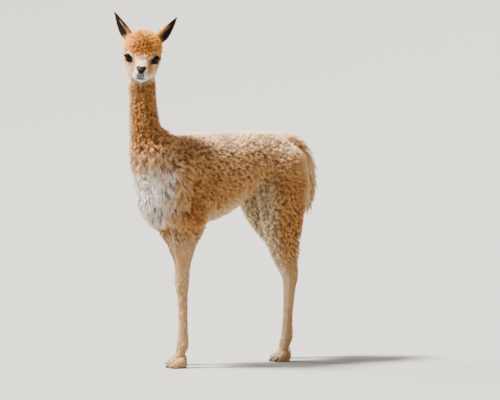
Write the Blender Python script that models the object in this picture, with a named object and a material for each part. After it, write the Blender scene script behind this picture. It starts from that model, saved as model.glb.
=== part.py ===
"""A young vicuna standing still, life size, with its head turned to its left.

Metres, +Z up. The nose end is -Y, the animal's left side is +X, and the soles stand on z = 0.
Outline sizes are measured over the coat. The core of each piece lies half the coat's depth inside
that outline, and rounded fleece clumps and flat tapered locks reach out to it. The animal is
fused whole and then parted with thin cuts into the pieces that a person would name.
"""

import math

import bmesh
import bpy
import numpy as np
from mathutils import Matrix, Vector
from mathutils.bvhtree import BVHTree

# Driving dimensions, in metres.
WITHERS = 0.750
TRUNK = 0.660
GAP = 0.0003
SEED = 11
# The middle of the whole animal's box, which is moved over the origin.
MIDDLE = (0.0037, -0.0045)

# Depth of the coat over the skin on each part, and the share of it that the core leaves out.
TORSO_COAT = 0.034
NECK_COAT = 0.018
LEG_COAT = 0.006
CROWN_COAT = 0.024
FACE_COAT = 0.003
TAIL_COAT = 0.024
CORE_SHARE = 0.5

# The trunk from breast to buttock: share of the length, top and bottom height as shares of the
# withers' height, and half width.
TORSO = (
    (0.012, 0.905, 0.840, 0.028),
    (0.045, 0.962, 0.765, 0.056),
    (0.100, 0.996, 0.670, 0.083),
    (0.180, 1.010, 0.620, 0.098),
    (0.300, 1.012, 0.606, 0.105),
    (0.440, 1.013, 0.630, 0.111),
    (0.580, 1.015, 0.672, 0.112),
    (0.705, 1.018, 0.720, 0.107),
    (0.820, 1.013, 0.737, 0.100),
    (0.910, 0.988, 0.747, 0.088),
    (0.975, 0.937, 0.775, 0.060),
    (1.000, 0.885, 0.815, 0.030),
)
# How square the trunk's section is: above, below at the chest, and below at the flank's fold.
TORSO_ROUND, FLANK_FROM, FLANK_TO = (2.3, 2.2, 1.2), 0.40, 0.72
BREAST_AT, BREAST = (0, -0.220, 0.590), (0.080, 0.085, 0.130)
SHOULDER_AT, SHOULDER, SHOULDER_TILT = (0.058, -0.165, 0.590), (0.050, 0.085, 0.140), -14

# The neck from inside the breast to inside the head: y, z, half width across, half depth.
NECK = (
    (-0.205, 0.640, 0.082, 0.096),
    (-0.256, 0.712, 0.070, 0.078),
    (-0.283, 0.762, 0.056, 0.058),
    (-0.291, 0.800, 0.0505, 0.0510),
    (-0.296, 0.850, 0.0465, 0.0472),
    (-0.299, 0.905, 0.0452, 0.0462),
    (-0.299, 0.960, 0.0448, 0.0460),
    (-0.297, 1.010, 0.0435, 0.0445),
)

# Each leg from inside the trunk down to the pastern: x, y, z, half width, half depth.
FORELEG = (
    (0.056, -0.146, 0.560, 0.036, 0.060),
    (0.058, -0.155, 0.500, 0.038, 0.056),
    (0.056, -0.162, 0.450, 0.034, 0.047),
    (0.052, -0.167, 0.400, 0.029, 0.040),
    (0.047, -0.171, 0.330, 0.0225, 0.0265),
    (0.044, -0.174, 0.268, 0.0240, 0.0245),
    (0.043, -0.171, 0.236, 0.0190, 0.0195),
    (0.043, -0.169, 0.160, 0.0165, 0.0175),
    (0.043, -0.169, 0.104, 0.0170, 0.0185),
    (0.043, -0.170, 0.080, 0.0205, 0.0215),
    (0.043, -0.178, 0.050, 0.0180, 0.0190),
    (0.043, -0.184, 0.022, 0.0170, 0.0180),
)
HINDLEG = (
    (0.050, 0.212, 0.690, 0.048, 0.084),
    (0.056, 0.214, 0.620, 0.053, 0.088),
    (0.060, 0.216, 0.540, 0.049, 0.081),
    (0.062, 0.220, 0.470, 0.043, 0.073),
    (0.0605, 0.227, 0.410, 0.035, 0.056),
    (0.057, 0.236, 0.352, 0.029, 0.043),
    (0.054, 0.248, 0.310, 0.0245, 0.0350),
    (0.052, 0.258, 0.280, 0.0225, 0.0315),
    (0.050, 0.257, 0.245, 0.0195, 0.0240),
    (0.049, 0.251, 0.170, 0.0170, 0.0190),
    (0.048, 0.247, 0.106, 0.0170, 0.0190),
    (0.048, 0.246, 0.080, 0.0205, 0.0220),
    (0.048, 0.236, 0.050, 0.0185, 0.0195),
    (0.048, 0.230, 0.022, 0.0175, 0.0185),
)
# How much further back the right leg of each pair stands than the left, and the heights between
# which that offset grows from nothing to all of it.
RIGHT_FORE_BACK, FORE_SWING = 0.060, (0.560, 0.320)
RIGHT_HIND_BACK, HIND_SWING = 0.075, (0.580, 0.400)

# A toe from heel to tip: distance forward of the pastern, height, half width, half height.
TOE = (
    (-0.017, 0.0140, 0.0080, 0.0130),
    (-0.003, 0.0175, 0.0112, 0.0185),
    (0.013, 0.0140, 0.0118, 0.0155),
    (0.027, 0.0090, 0.0104, 0.0105),
    (0.036, 0.0060, 0.0070, 0.0065),
)
NAIL = (
    (0.019, 0.0135, 0.0052, 0.0045),
    (0.029, 0.0120, 0.0070, 0.0060),
    (0.037, 0.0085, 0.0056, 0.0055),
    (0.043, 0.0052, 0.0024, 0.0034),
)
TOE_SPREAD, TOE_SPLAY = 0.0118, 5

# The tail hangs from the rump: y, z, half width, half depth.
TAIL = (
    (0.235, 0.715, 0.040, 0.034),
    (0.285, 0.718, 0.038, 0.034),
    (0.320, 0.705, 0.036, 0.031),
    (0.347, 0.676, 0.031, 0.026),
    (0.363, 0.638, 0.030, 0.023),
    (0.367, 0.596, 0.030, 0.023),
    (0.365, 0.552, 0.026, 0.021),
    (0.361, 0.522, 0.016, 0.013),
)

# The head in its own frame: origin between the eyes, nose along -y, left side +x.
HEAD_AT = (0.038, -0.325, 1.015)
HEAD_YAW, HEAD_PITCH, HEAD_ROLL = 54, 14, 5
# Forward distance, top, bottom and half width of the head's sections.
HEAD = (
    (-0.088, 0.020, -0.030, 0.022),
    (-0.076, 0.044, -0.056, 0.039),
    (-0.050, 0.060, -0.078, 0.050),
    (-0.018, 0.063, -0.082, 0.052),
    (0.012, 0.054, -0.078, 0.0485),
    (0.036, 0.033, -0.072, 0.0390),
    (0.060, 0.016, -0.065, 0.0320),
    (0.084, 0.003, -0.060, 0.0255),
    (0.102, -0.006, -0.056, 0.0215),
    (0.112, -0.014, -0.049, 0.0165),
    (0.117, -0.022, -0.040, 0.0085),
)
CROWN_AT, CROWN = (0, 0.028, 0.022), (0.0665, 0.063, 0.062)
NOSE_AT, NOSE = (0, -0.105, -0.0165), (0.0160, 0.0125, 0.0105)
CHIN_AT, CHIN = (0, -0.093, -0.0490), (0.0140, 0.018, 0.0105)
CHEEK_AT, CHEEK = (0.026, 0.010, -0.036), (0.023, 0.045, 0.038)
ORBIT_AT, ORBIT = (0.0330, -0.014, 0.003), (0.0215, 0.031, 0.0225)
LIP_AT, LIP = (0.0098, -0.1010, -0.0315), (0.0135, 0.0165, 0.0135)

# Eyes and lids: the eye's centre and radius, the lids' thickness, the way that the eye looks, and
# the half length and half height of the opening between the lids, with its slope.
EYE_AT, EYE_R = (0.0365, -0.022, 0.000), 0.0165
LID = 0.0030
EYE_LOOKS = (0.72, -0.69, 0.06)
EYE_OPENING, EYE_SLOPE = (0.0150, 0.0104), 18

# The mouth line, the split of the upper lip and the nostrils are cut this deep.
MOUTH_FROM, MOUTH_HEIGHTS, MOUTH_ANGLE = (0, -0.072), (-0.0445, -0.0405), 100
GROOVE = 0.0021
SPLIT = (-0.0430, -0.0255)
NOSTRIL_FROM, NOSTRIL = (0.0035, -0.097, -0.0170), (0.0024, 0.0062, 0.0048)

# Each ear from its sunk root to its tip: share of its length, half width, depth of its cup, and
# how far round the back its wall reaches, in degrees.
EAR = (
    (-0.14, 0.0120, 0.0110, 120),
    (0.00, 0.0165, 0.0145, 118),
    (0.14, 0.0188, 0.0155, 114),
    (0.32, 0.0172, 0.0140, 108),
    (0.52, 0.0132, 0.0105, 102),
    (0.72, 0.0088, 0.0065, 95),
    (0.88, 0.0045, 0.0032, 85),
    (1.00, 0.0012, 0.0008, 75),
)
EAR_ROOT, EAR_TIP = (0.0505, 0.034, 0.053), (0.1010, 0.056, 0.126)
EAR_OPENS, EAR_BOW, EAR_THICK = (0.55, -0.80, 0.10), 0.003, 0.0028

# The thin cuts that part the animal: a point on each, the way it faces, and its half size.
NECK_CUT = (0, -0.285, 0.728), (0, -0.6, 0.8), 0.16
HEAD_CUT = (0.005, -0.315, 0.936), (0.02, -0.05, 1.0), 0.085
FORE_CUT, HIND_CUT = 0.440, 0.500
TAIL_CUT = (0, 0.334, 0.702), (0, 0.85, -0.53), 0.050

# Clumps of fleece: their distance apart, half width and how deep the root is sunk.
TORSO_CLUMP = 0.060, 0.039, 0.016
THIGH_CLUMP = 0.052, 0.034, 0.013
NECK_CLUMP = 0.038, 0.025, 0.011
CROWN_CLUMP = 0.027, 0.0180, 0.010
CLUMP_SIDES = 6
# The clump's rings: share of its half width, share of its height, and its lean along the lie.
CLUMP = ((0.86, 0.36, 0.08), (0.52, 0.84, 0.22))
# Locks of long hair: their distance apart; their length, half width, thickness and how deep the
# root is sunk; and the height that none hangs below.
BIB_SPACING, BIB_LOCK, BIB_END = 0.036, (0.088, 0.0165, 0.0070, 0.012), 0.447
TAIL_SPACING, TAIL_LOCK, TAIL_END = 0.030, (0.068, 0.0125, 0.0060, 0.010), 0.490
# Along a lock: share of its length, height over the skin, share of its width; and its tip's height.
LOCK = ((0.30, 0.0065, 1.0), (0.68, 0.0070, 0.74))
LOCK_TIP = 0.004

# Colour and roughness of each kind of piece.
LOOKS = {
    "torso": ((0.52, 0.34, 0.19), 0.95),
    "neck": ((0.44, 0.25, 0.12), 0.95),
    "head": ((0.50, 0.30, 0.16), 0.90),
    "ear": ((0.22, 0.12, 0.07), 0.90),
    "eye": ((0.02, 0.012, 0.008), 0.10),
    "tail": ((0.46, 0.27, 0.13), 0.95),
    "foreleg": ((0.62, 0.45, 0.29), 0.92),
    "hindleg": ((0.60, 0.42, 0.26), 0.92),
    "nail": ((0.06, 0.045, 0.035), 0.45),
}

# How finely the smooth forms are meshed before their faces are thinned out.
BODY_VOXEL, COAT_VOXEL, HEAD_VOXEL, FOOT_VOXEL = 0.007, 0.005, 0.0035, 0.003
CORE_FACES, BODY_FACES, HEAD_FACES, FOOT_FACES, TAIL_FACES = 3000, 5900, 1800, 170, 200
SIDES = 28
STEPS = 4


def material(name, colour, roughness):
    made = bpy.data.materials.new(name)
    made.use_nodes = True
    shader = made.node_tree.nodes["Principled BSDF"]
    shader.inputs["Base Color"].default_value = (*colour, 1.0)
    shader.inputs["Roughness"].default_value = roughness
    shader.inputs["Metallic"].default_value = 0.0
    return made


def mesh_object(name, points, faces):
    mesh = bpy.data.meshes.new(name)
    mesh.from_pydata([tuple(p) for p in points], [], faces)
    mesh.update()
    made = bpy.data.objects.new(name, mesh)
    bpy.context.scene.collection.objects.link(made)
    return made


def facing_out(obj):
    """Turns the faces of a closed mesh outward, and splits those with over three corners."""
    made = bmesh.new()
    made.from_mesh(obj.data)
    bmesh.ops.triangulate(made, faces=made.faces)
    bmesh.ops.recalc_face_normals(made, faces=made.faces)
    made.to_mesh(obj.data)
    made.free()


def catmull_rom(rows, steps=STEPS):
    """The rows of sizes with steps rows for each span, on a smooth curve through them all."""
    rows = np.array(rows, float)
    ends = np.vstack([2 * rows[0] - rows[1], rows, 2 * rows[-1] - rows[-2]])
    made = []
    for i in range(1, len(rows)):
        before, start, end, after = ends[i - 1 : i + 3]
        for t in np.arange(steps) / steps:
            made.append(
                start
                + 0.5 * t * (end - before)
                + 0.5 * t * t * (2 * before - 5 * start + 4 * end - after)
                + 0.5 * t**3 * (3 * start - before - 3 * end + after)
            )
    made.append(rows[-1])
    return np.array(made)


def loft(name, rings):
    """A closed tube through rings of points, each with the same number of points."""
    sides = len(rings[0])
    points = [p for ring in rings for p in ring]
    faces = [tuple(range(sides))[::-1]]
    for r in range(len(rings) - 1):
        for s in range(sides):
            t = (s + 1) % sides
            faces.append((r * sides + s, r * sides + t, (r + 1) * sides + t, (r + 1) * sides + s))
    faces.append(tuple(range(len(points) - sides, len(points))))
    made = mesh_object(name, points, faces)
    facing_out(made)
    return made


def ring(centre, across, along, half_across, half_along, sides=SIDES, powers=(2.0, 2.0)):
    """A rounded section, with one power above and one below; over 2 is squarer, under 2 a keel."""
    made = []
    for angle in np.linspace(0, 2 * math.pi, sides, endpoint=False):
        c, s = math.cos(angle), math.sin(angle)
        power = powers[0] if s > 0 else powers[1]
        c = math.copysign(abs(c) ** (2 / power), c)
        s = math.copysign(abs(s) ** (2 / power), s)
        made.append(centre + across * c * half_across + along * s * half_along)
    return made


def tube(name, stations, inset=0.0, twist=(0, 0), sides=SIDES, steps=STEPS):
    """A limb: stations of x, y, z, half width and half depth, its sections square to its line.

    twist is the turn about the line, in degrees, at the first and the last station.
    """
    rows = catmull_rom(stations, steps)
    lines = np.gradient(rows[:, :3], axis=0)
    rings = []
    for i, (row, line) in enumerate(zip(rows, lines)):
        line = Vector(line).normalized()
        across = (Vector((1, 0, 0)) - line * line.x).normalized()
        share = i / (len(rows) - 1)
        turn = math.radians(twist[0] + (twist[1] - twist[0]) * share)
        across = Matrix.Rotation(turn, 3, Vector((0, 0, 1))) @ across
        along = line.cross(across).normalized()
        rings.append(ring(Vector(row[:3]), across, along, row[3] - inset, row[4] - inset, sides))
    return loft(name, rings)


def ellipsoid(name, centre, radii, inset=0.0, turn=None, rings=12, sides=16):
    made = bmesh.new()
    size = Matrix.Diagonal((*[r - inset for r in radii], 1))
    place = Matrix.Translation(centre) @ (turn or Matrix.Identity(4)) @ size
    bmesh.ops.create_uvsphere(made, u_segments=sides, v_segments=rings, radius=1, matrix=place)
    mesh = bpy.data.meshes.new(name)
    made.to_mesh(mesh)
    made.free()
    blob = bpy.data.objects.new(name, mesh)
    bpy.context.scene.collection.objects.link(blob)
    return blob


def baked(obj):
    """Applies the object's modifiers and matrix to its mesh."""
    bpy.context.view_layer.update()
    graph = bpy.context.evaluated_depsgraph_get()
    mesh = bpy.data.meshes.new_from_object(obj.evaluated_get(graph))
    mesh.transform(obj.matrix_world)
    obj.modifiers.clear()
    obj.data = mesh
    obj.parent = None
    obj.matrix_world = Matrix.Identity(4)
    return obj


def joined(name, objs):
    """One object that holds the meshes of several, overlapping as they are."""
    made = bmesh.new()
    for obj in objs:
        made.from_mesh(obj.data)
        bpy.data.objects.remove(obj)
    mesh = bpy.data.meshes.new(name)
    made.to_mesh(mesh)
    made.free()
    whole = bpy.data.objects.new(name, mesh)
    bpy.context.scene.collection.objects.link(whole)
    return whole


def melted(obj, voxel, passes, faces):
    """Overlapping forms made one smooth skin with about that many triangles."""
    remesh = obj.modifiers.new("remesh", "REMESH")
    remesh.mode = "VOXEL"
    remesh.voxel_size = voxel
    smooth = obj.modifiers.new("smooth", "SMOOTH")
    smooth.factor = 0.5
    smooth.iterations = passes
    baked(obj)
    obj.data.calc_loop_triangles()
    thin = obj.modifiers.new("thin", "DECIMATE")
    thin.ratio = faces / len(obj.data.loop_triangles)
    return baked(obj)


def boolean(obj, operation, others, solver="EXACT"):
    """One Boolean of the object with all the others, which are used up."""
    group = bpy.data.collections.new("operands")
    for other in others:
        group.objects.link(other)
    change = obj.modifiers.new("boolean", "BOOLEAN")
    change.operation = operation
    change.operand_type = "COLLECTION"
    change.collection = group
    change.solver = solver
    baked(obj)
    for other in others:
        bpy.data.objects.remove(other)
    bpy.data.collections.remove(group)
    return obj


def box(name, low, high):
    made = bmesh.new()
    middle = (Vector(low) + Vector(high)) / 2
    size = Matrix.Diagonal((*(Vector(high) - Vector(low)), 1))
    bmesh.ops.create_cube(made, size=1, matrix=Matrix.Translation(middle) @ size)
    mesh = bpy.data.meshes.new(name)
    made.to_mesh(mesh)
    made.free()
    block = bpy.data.objects.new(name, mesh)
    bpy.context.scene.collection.objects.link(block)
    return block


def turned_to(direction, up=(0, 0, 1)):
    """A rotation whose z axis points along the direction and whose y axis leans to up."""
    z = Vector(direction).normalized()
    x = Vector(up).cross(z).normalized()
    y = z.cross(x)
    return Matrix((x, y, z)).transposed().to_4x4()


def thin_cut(name, at, facing, half):
    """A slab as thin as the gap, square to the way that it faces."""
    slab = box(name, (-half, -half, -GAP / 2), (half, half, GAP / 2))
    slab.matrix_world = Matrix.Translation(at) @ turned_to(facing, (0, 1, 0.1))
    return baked(slab)


def grown(obj, by):
    """A copy with its skin moved outward."""
    copy = bpy.data.objects.new(obj.name + "_grown", obj.data.copy())
    bpy.context.scene.collection.objects.link(copy)
    for vertex, normal in zip(copy.data.vertices, [v.normal.copy() for v in obj.data.vertices]):
        vertex.co += normal * by
    return copy


def surface_tree(obj):
    made = bmesh.new()
    made.from_mesh(obj.data)
    tree = BVHTree.FromBMesh(made)
    made.free()
    return tree


def smoothstep(share):
    share = min(1.0, max(0.0, share))
    return share * share * (3 - 2 * share)


def torso_rings(inset):
    rings = []
    for share, top, bottom, half_width in catmull_rom(TORSO):
        y = (share - 0.5) * (TRUNK - 2 * inset)
        high = top * WITHERS - inset
        low = bottom * WITHERS + inset
        tuck = smoothstep((share - FLANK_FROM) / (FLANK_TO - FLANK_FROM))
        below = TORSO_ROUND[1] + (TORSO_ROUND[2] - TORSO_ROUND[1]) * tuck
        rings.append(
            ring(
                Vector((0, y, (high + low) / 2)),
                Vector((1, 0, 0)),
                Vector((0, 0, 1)),
                max(half_width - inset, 0.01),
                (high - low) / 2,
                powers=(TORSO_ROUND[0], below),
            )
        )
    return rings


def swung_back(z, side, back, swing):
    """How far back of the left leg's line a point of the right leg stands."""
    if side > 0:
        return 0.0
    return back * smoothstep((swing[0] - z) / (swing[0] - swing[1]))


def leg_stations(stations, side, back, swing):
    made = []
    for x, y, z, across, depth in stations:
        made.append((side * x, y + swung_back(z, side, back, swing), z, across, depth))
    return made


def legs():
    """Name, side, stations of each leg."""
    made = []
    for side, side_name in ((1, "left"), (-1, "right")):
        fore = leg_stations(FORELEG, side, RIGHT_FORE_BACK, FORE_SWING)
        hind = leg_stations(HINDLEG, side, RIGHT_HIND_BACK, HIND_SWING)
        made.append(("foreleg_" + side_name, side, fore))
        made.append(("hindleg_" + side_name, side, hind))
    return made


def body_form(share):
    """Trunk, neck and legs as overlapping lofts; share of the coat's depth is left off."""
    fleece = TORSO_COAT * share
    parts = [loft("trunk", torso_rings(fleece))]
    neck = [(0, *row) for row in NECK]
    parts.append(tube("neck_form", neck, NECK_COAT * share, twist=(0, HEAD_YAW)))
    parts.append(ellipsoid("breast", BREAST_AT, BREAST, fleece))
    tilt = Matrix.Rotation(math.radians(SHOULDER_TILT), 4, "X")
    for side in (1, -1):
        at = (side * SHOULDER_AT[0], *SHOULDER_AT[1:])
        parts.append(ellipsoid("shoulder", at, SHOULDER, fleece, tilt))
    for name, side, stations in legs():
        parts.append(tube(name, stations, LEG_COAT * share))
    return parts


def toe_place(side, stations, toe):
    """The frame of one toe: at the pastern on the floor, turned a little outward."""
    x, y = stations[-1][0], stations[-1][1]
    splay = Matrix.Rotation(math.radians(TOE_SPLAY * toe), 4, "Z")
    return Matrix.Translation((x + TOE_SPREAD * toe, y, 0)) @ splay


def toe_rings(rows, grow=0.0, sides=12, steps=1):
    rings = []
    rows = catmull_rom(rows, steps)
    for i, (forward, z, half_width, half_height) in enumerate(rows):
        ends = -grow if i == 0 else grow if i == len(rows) - 1 else 0.0
        rings.append(
            ring(
                Vector((0, -forward - ends, z)),
                Vector((1, 0, 0)),
                Vector((0, 0, 1)),
                half_width + grow,
                half_height + grow,
                sides,
            )
        )
    return rings


def feet():
    """Each foot's two toes, smooth and a little below the floor, where they are cut flat."""
    made = []
    for name, side, stations in legs():
        toes = []
        for toe in (1, -1):
            form = loft("toe", toe_rings(TOE, steps=3))
            form.matrix_world = toe_place(side, stations, toe)
            toes.append(baked(form))
        pad = (stations[-1][0], stations[-1][1] + 0.004, 0.022)
        toes.append(ellipsoid("heel", pad, (0.0185, 0.0200, 0.0200)))
        made.append(melted(joined(name + "_foot", toes), FOOT_VOXEL, 3, FOOT_FACES))
    return made


def nails():
    """The eight nails and the seats that are cut for them."""
    made, seats = [], []
    for name, side, stations in legs():
        for toe, toe_name in ((side, "outer"), (-side, "inner")):
            place = toe_place(side, stations, toe)
            for grow in (0.0, GAP):
                form = loft("nail_%s_%s" % (name, toe_name), toe_rings(NAIL, grow, 6))
                form.matrix_world = place
                baked(form)
                (seats if grow else made).append(form)
    return made, seats


def tail_form(share):
    rows = [(0, *row) for row in TAIL]
    return [tube("tail_form", rows, TAIL_COAT * share, sides=12, steps=2)]


def head_matrix():
    yaw = Matrix.Rotation(math.radians(HEAD_YAW), 4, "Z")
    pitch = Matrix.Rotation(math.radians(HEAD_PITCH), 4, "X")
    roll = Matrix.Rotation(math.radians(HEAD_ROLL), 4, "Y")
    return Matrix.Translation(HEAD_AT) @ yaw @ pitch @ roll


def mirrored(at, side):
    return (side * at[0], *at[1:])


def head_form(share):
    """Skull, cheeks, orbits, muzzle, lips and the woolly crown, in the head's own frame."""
    face = FACE_COAT * share
    rings = []
    for forward, top, bottom, half_width in catmull_rom(HEAD):
        rings.append(
            ring(
                Vector((0, -forward, (top + bottom) / 2)),
                Vector((1, 0, 0)),
                Vector((0, 0, 1)),
                half_width - face,
                (top - bottom) / 2 - face,
                powers=(2.2, 2.2),
            )
        )
    parts = [loft("skull", rings)]
    parts.append(ellipsoid("crown", CROWN_AT, CROWN, CROWN_COAT * share))
    parts.append(ellipsoid("nose", NOSE_AT, NOSE, face))
    parts.append(ellipsoid("chin", CHIN_AT, CHIN, face))
    for side in (1, -1):
        parts.append(ellipsoid("cheek", mirrored(CHEEK_AT, side), CHEEK, face))
        parts.append(ellipsoid("orbit", mirrored(ORBIT_AT, side), ORBIT, face))
        parts.append(ellipsoid("lip", mirrored(LIP_AT, side), LIP, face))
    return parts


def lens(name, half_length, half_height, depth, points=7):
    """An almond outline, drawn out along z from 0 to the depth."""
    upper = [
        (half_length * math.cos(a), half_height * math.sin(a) ** 1.2)
        for a in np.linspace(0, math.pi, points)
    ]
    lower = [(-x, -y) for x, y in upper[1:-1]]
    outline = upper + lower
    rings = [[Vector((x, y, z)) for x, y in outline] for z in (0.0, depth)]
    return loft(name, rings)


def eye_parts(side):
    """The eyeball, its socket, the ball that the lids are made of, and the opening in them."""
    at = Vector(mirrored(EYE_AT, side))
    looks = Vector(mirrored(EYE_LOOKS, side))
    opening = lens("opening", *EYE_OPENING, 0.05)
    slope = Matrix.Rotation(math.radians(-side * EYE_SLOPE), 4, "Z")
    opening.matrix_world = Matrix.Translation(at) @ turned_to(looks) @ slope
    name = "eye_left" if side > 0 else "eye_right"
    eye = ellipsoid(name, at, [EYE_R] * 3, rings=8, sides=12)
    socket = ellipsoid("socket", at, [EYE_R + GAP] * 3, rings=8, sides=12)
    lids = ellipsoid("lids", at, [EYE_R + LID] * 3, rings=8, sides=12)
    return eye, socket, lids, baked(opening)


def grooves(tree):
    """Cutters along the mouth line and the split of the upper lip, and for the nostrils."""
    mouth = []
    for angle in np.linspace(-MOUTH_ANGLE, MOUTH_ANGLE, 13):
        share = abs(angle) / MOUTH_ANGLE
        height = MOUTH_HEIGHTS[0] + (MOUTH_HEIGHTS[1] - MOUTH_HEIGHTS[0]) * share**2
        turn = math.radians(angle)
        way = Vector((math.sin(turn), -math.cos(turn), 0))
        mouth.append(tree.ray_cast(Vector((*MOUTH_FROM, height)), way)[0])
    split = []
    for height in np.linspace(*SPLIT, 5):
        split.append(tree.ray_cast(Vector((0, -0.09, height)), Vector((0, -1, 0)))[0])
    made = [groove_tube("mouth", mouth), groove_tube("split", split)]
    for side in (1, -1):
        way = Vector((side * 0.55, -0.83, 0.10))
        at = tree.ray_cast(Vector(mirrored(NOSTRIL_FROM, side)), way)[0]
        turn = turned_to(way) @ Matrix.Rotation(math.radians(side * 38), 4, "Z")
        radii = (NOSTRIL[1], NOSTRIL[0], NOSTRIL[2])
        made.append(ellipsoid("nostril", at, radii, turn=turn, rings=6, sides=8))
    return made


def groove_tube(name, points, sides=5):
    """A thin round tube along the points, tapered at both ends."""
    rings = []
    for i, point in enumerate(points):
        before, after = points[max(i - 1, 0)], points[min(i + 1, len(points) - 1)]
        line = (after - before).normalized()
        across = line.orthogonal().normalized() if abs(line.z) > 0.9 else Vector((0, 0, 1))
        along = line.cross(across).normalized()
        across = along.cross(line)
        half = GROOVE * (0.45 if i in (0, len(points) - 1) else 1.0)
        rings.append(ring(point, across, along, half, half, sides))
    return loft(name, rings)


def ear(side):
    """A spear-shaped cup, open to the front and the side."""
    root, tip = Vector(mirrored(EAR_ROOT, side)), Vector(mirrored(EAR_TIP, side))
    line = (tip - root).normalized()
    opens = Vector(mirrored(EAR_OPENS, side))
    opens = (opens - line * opens.dot(line)).normalized()
    across = line.cross(opens)
    rings = []
    for share, half, cup, reach in catmull_rom(EAR, 2):
        bow = EAR_BOW * 4 * share * (1 - share) * side
        centre = root.lerp(tip, share) + Vector((bow, 0, 0))
        thick = min(EAR_THICK, 0.45 * cup)
        wall = []
        for angles, inset in ((np.linspace(-reach, reach, 5), 0.0), (np.linspace(reach - 8, 8 - reach, 3), thick)):
            for angle in np.radians(angles):
                wide = (half - inset) * math.sin(angle)
                wall.append(centre + across * wide - opens * (cup - inset) * math.cos(angle))
        rings.append(wall)
    return loft("ear_left" if side > 0 else "ear_right", rings)


def to_head(objs):
    """Moves things from the head's own frame to their place on the animal."""
    for obj in objs:
        obj.matrix_world = head_matrix() @ obj.matrix_world
        baked(obj)
    return objs


def spots(surface, spacing, wanted, rng, tries=5000, rounds=8):
    """Points and outward normals spread evenly over the wanted part of a mesh."""
    mesh = surface.data
    mesh.calc_loop_triangles()
    corners = np.array([tri.vertices for tri in mesh.loop_triangles])
    places = np.array([v.co for v in mesh.vertices])
    normals = np.array([v.normal for v in mesh.vertices])
    a, b, c = (places[corners[:, i]] for i in range(3))
    areas = np.linalg.norm(np.cross(b - a, c - a), axis=1) / 2
    picked = corners[rng.choice(len(corners), tries, p=areas / areas.sum())]
    shares = rng.dirichlet((1, 1, 1), tries)[:, :, None]
    at = (places[picked] * shares).sum(axis=1)
    out = (normals[picked] * shares).sum(axis=1)
    kept = np.array([wanted(Vector(p), Vector(n)) for p, n in zip(at, out)])
    at, out = at[kept], out[kept]
    each = spacing**2 * math.sqrt(3) / 2
    count = max(1, round(areas.sum() * kept.mean() / each))
    centres = at[rng.choice(len(at), count, replace=False)]
    for _ in range(rounds):
        nearest = np.linalg.norm(at[:, None] - centres[None], axis=2).argmin(axis=1)
        centres = np.array([at[nearest == i].mean(axis=0) for i in range(count)])
    chosen = np.linalg.norm(at[:, None] - centres[None], axis=2).argmin(axis=0)
    return [(Vector(at[i]), Vector(out[i]).normalized()) for i in chosen]


def along_skin(way, normal):
    way = Vector(way)
    flat = way - normal * way.dot(normal)
    return flat.normalized() if flat.length > 0.05 else normal.orthogonal().normalized()


def clump(at, normal, lie, size, height, rng):
    """A rounded clump of fleece: a dome that leans along the coat's lie, its root sunk."""
    half, sink = size[1] * rng.uniform(0.92, 1.12), size[2]
    height *= rng.uniform(0.85, 1.1)
    along = along_skin(lie, normal)
    across = normal.cross(along)
    turn = rng.uniform(0, 2 * math.pi / CLUMP_SIDES)
    points = []
    for share, level, lean in ((CLUMP[0][0], -sink / height, 0.0), *CLUMP):
        for side in range(CLUMP_SIDES):
            angle = turn + 2 * math.pi * side / CLUMP_SIDES
            reach = half * share * rng.uniform(0.94, 1.06)
            points.append(
                at
                + normal * level * height
                + along * (reach * 1.12 * math.cos(angle) + lean * half)
                + across * (reach * 0.92 * math.sin(angle))
            )
    points.append(at + normal * height + along * CLUMP[-1][2] * half)
    return domed("clump", points, CLUMP_SIDES)


def lock(at, normal, lie, size, rng, lift, end):
    """A flat tapered lock that leaves the skin, bends over and hangs along its lie."""
    length, half, thick, sink = size
    along = along_skin(lie, normal)
    length = min(length * rng.uniform(0.82, 1.15), (at.z - end) / max(-along.z, 0.1))
    across = normal.cross(along)
    sway = length * rng.uniform(-0.18, 0.18)
    lift *= rng.uniform(0.9, 1.2)
    points = []
    for share, rise, wide in ((0.0, -sink, 0.3), *LOCK):
        middle = at + normal * (rise * lift) + along * (length * share - sink * (1 - share))
        middle += across * sway * share**2
        flat = half * wide * rng.uniform(0.92, 1.08)
        for aside, up in ((1, 0), (0, 1), (-1, 0)):
            points.append(middle + across * flat * aside + normal * thick * wide * up)
    points.append(at + along * length + across * sway + normal * LOCK_TIP * lift)
    return domed("lock", points, 3)


def domed(name, points, sides):
    """A closed form from rings of points, all with as many sides, and one last point."""
    rings = (len(points) - 1) // sides
    faces = [tuple(range(sides))]
    for r in range(rings - 1):
        for s in range(sides):
            t = (s + 1) % sides
            faces.append((r * sides + s, r * sides + t, (r + 1) * sides + t, (r + 1) * sides + s))
    last = (rings - 1) * sides
    for s in range(sides):
        faces.append((last + s, last + (s + 1) % sides, len(points) - 1))
    made = mesh_object(name, points, faces)
    facing_out(made)
    return made


def above_cut(cut, point):
    at, facing, _ = cut
    return (point - Vector(at)).dot(Vector(facing).normalized())


def in_bib(point, normal):
    """The front of the breast, where the hair is long and hangs."""
    if point.y > -0.10 or point.z < 0.495:
        return False
    return normal.y < -0.30 and above_cut(NECK_CUT, point) < -0.012


def on_torso(point, normal):
    if above_cut(NECK_CUT, point) > 0 or in_bib(point, normal) or point.y > 0.312:
        return False
    return point.z > (0.465 if point.y < 0.08 else HIND_CUT + 0.02)


def on_thigh(point, normal):
    return point.y > 0.08 and 0.335 < point.z < HIND_CUT + 0.02


def on_neck(point, normal):
    return above_cut(NECK_CUT, point) > 0 and above_cut(HEAD_CUT, point) < 0.030


def on_crown(point, normal):
    return point.z > 0.018 and point.y > -0.036


def on_tail(point, normal):
    return above_cut(TAIL_CUT, point) > 0.004 and point.z > 0.545


def clumps(core, fields, rng):
    """Clumps over each field: their sizes, where they grow, their lie and their height."""
    made = []
    for size, wanted, lie, height in fields:
        for at, normal in spots(core, size[0], wanted, rng):
            made.append(clump(at, normal, lie, size, height, rng))
    return made


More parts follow.
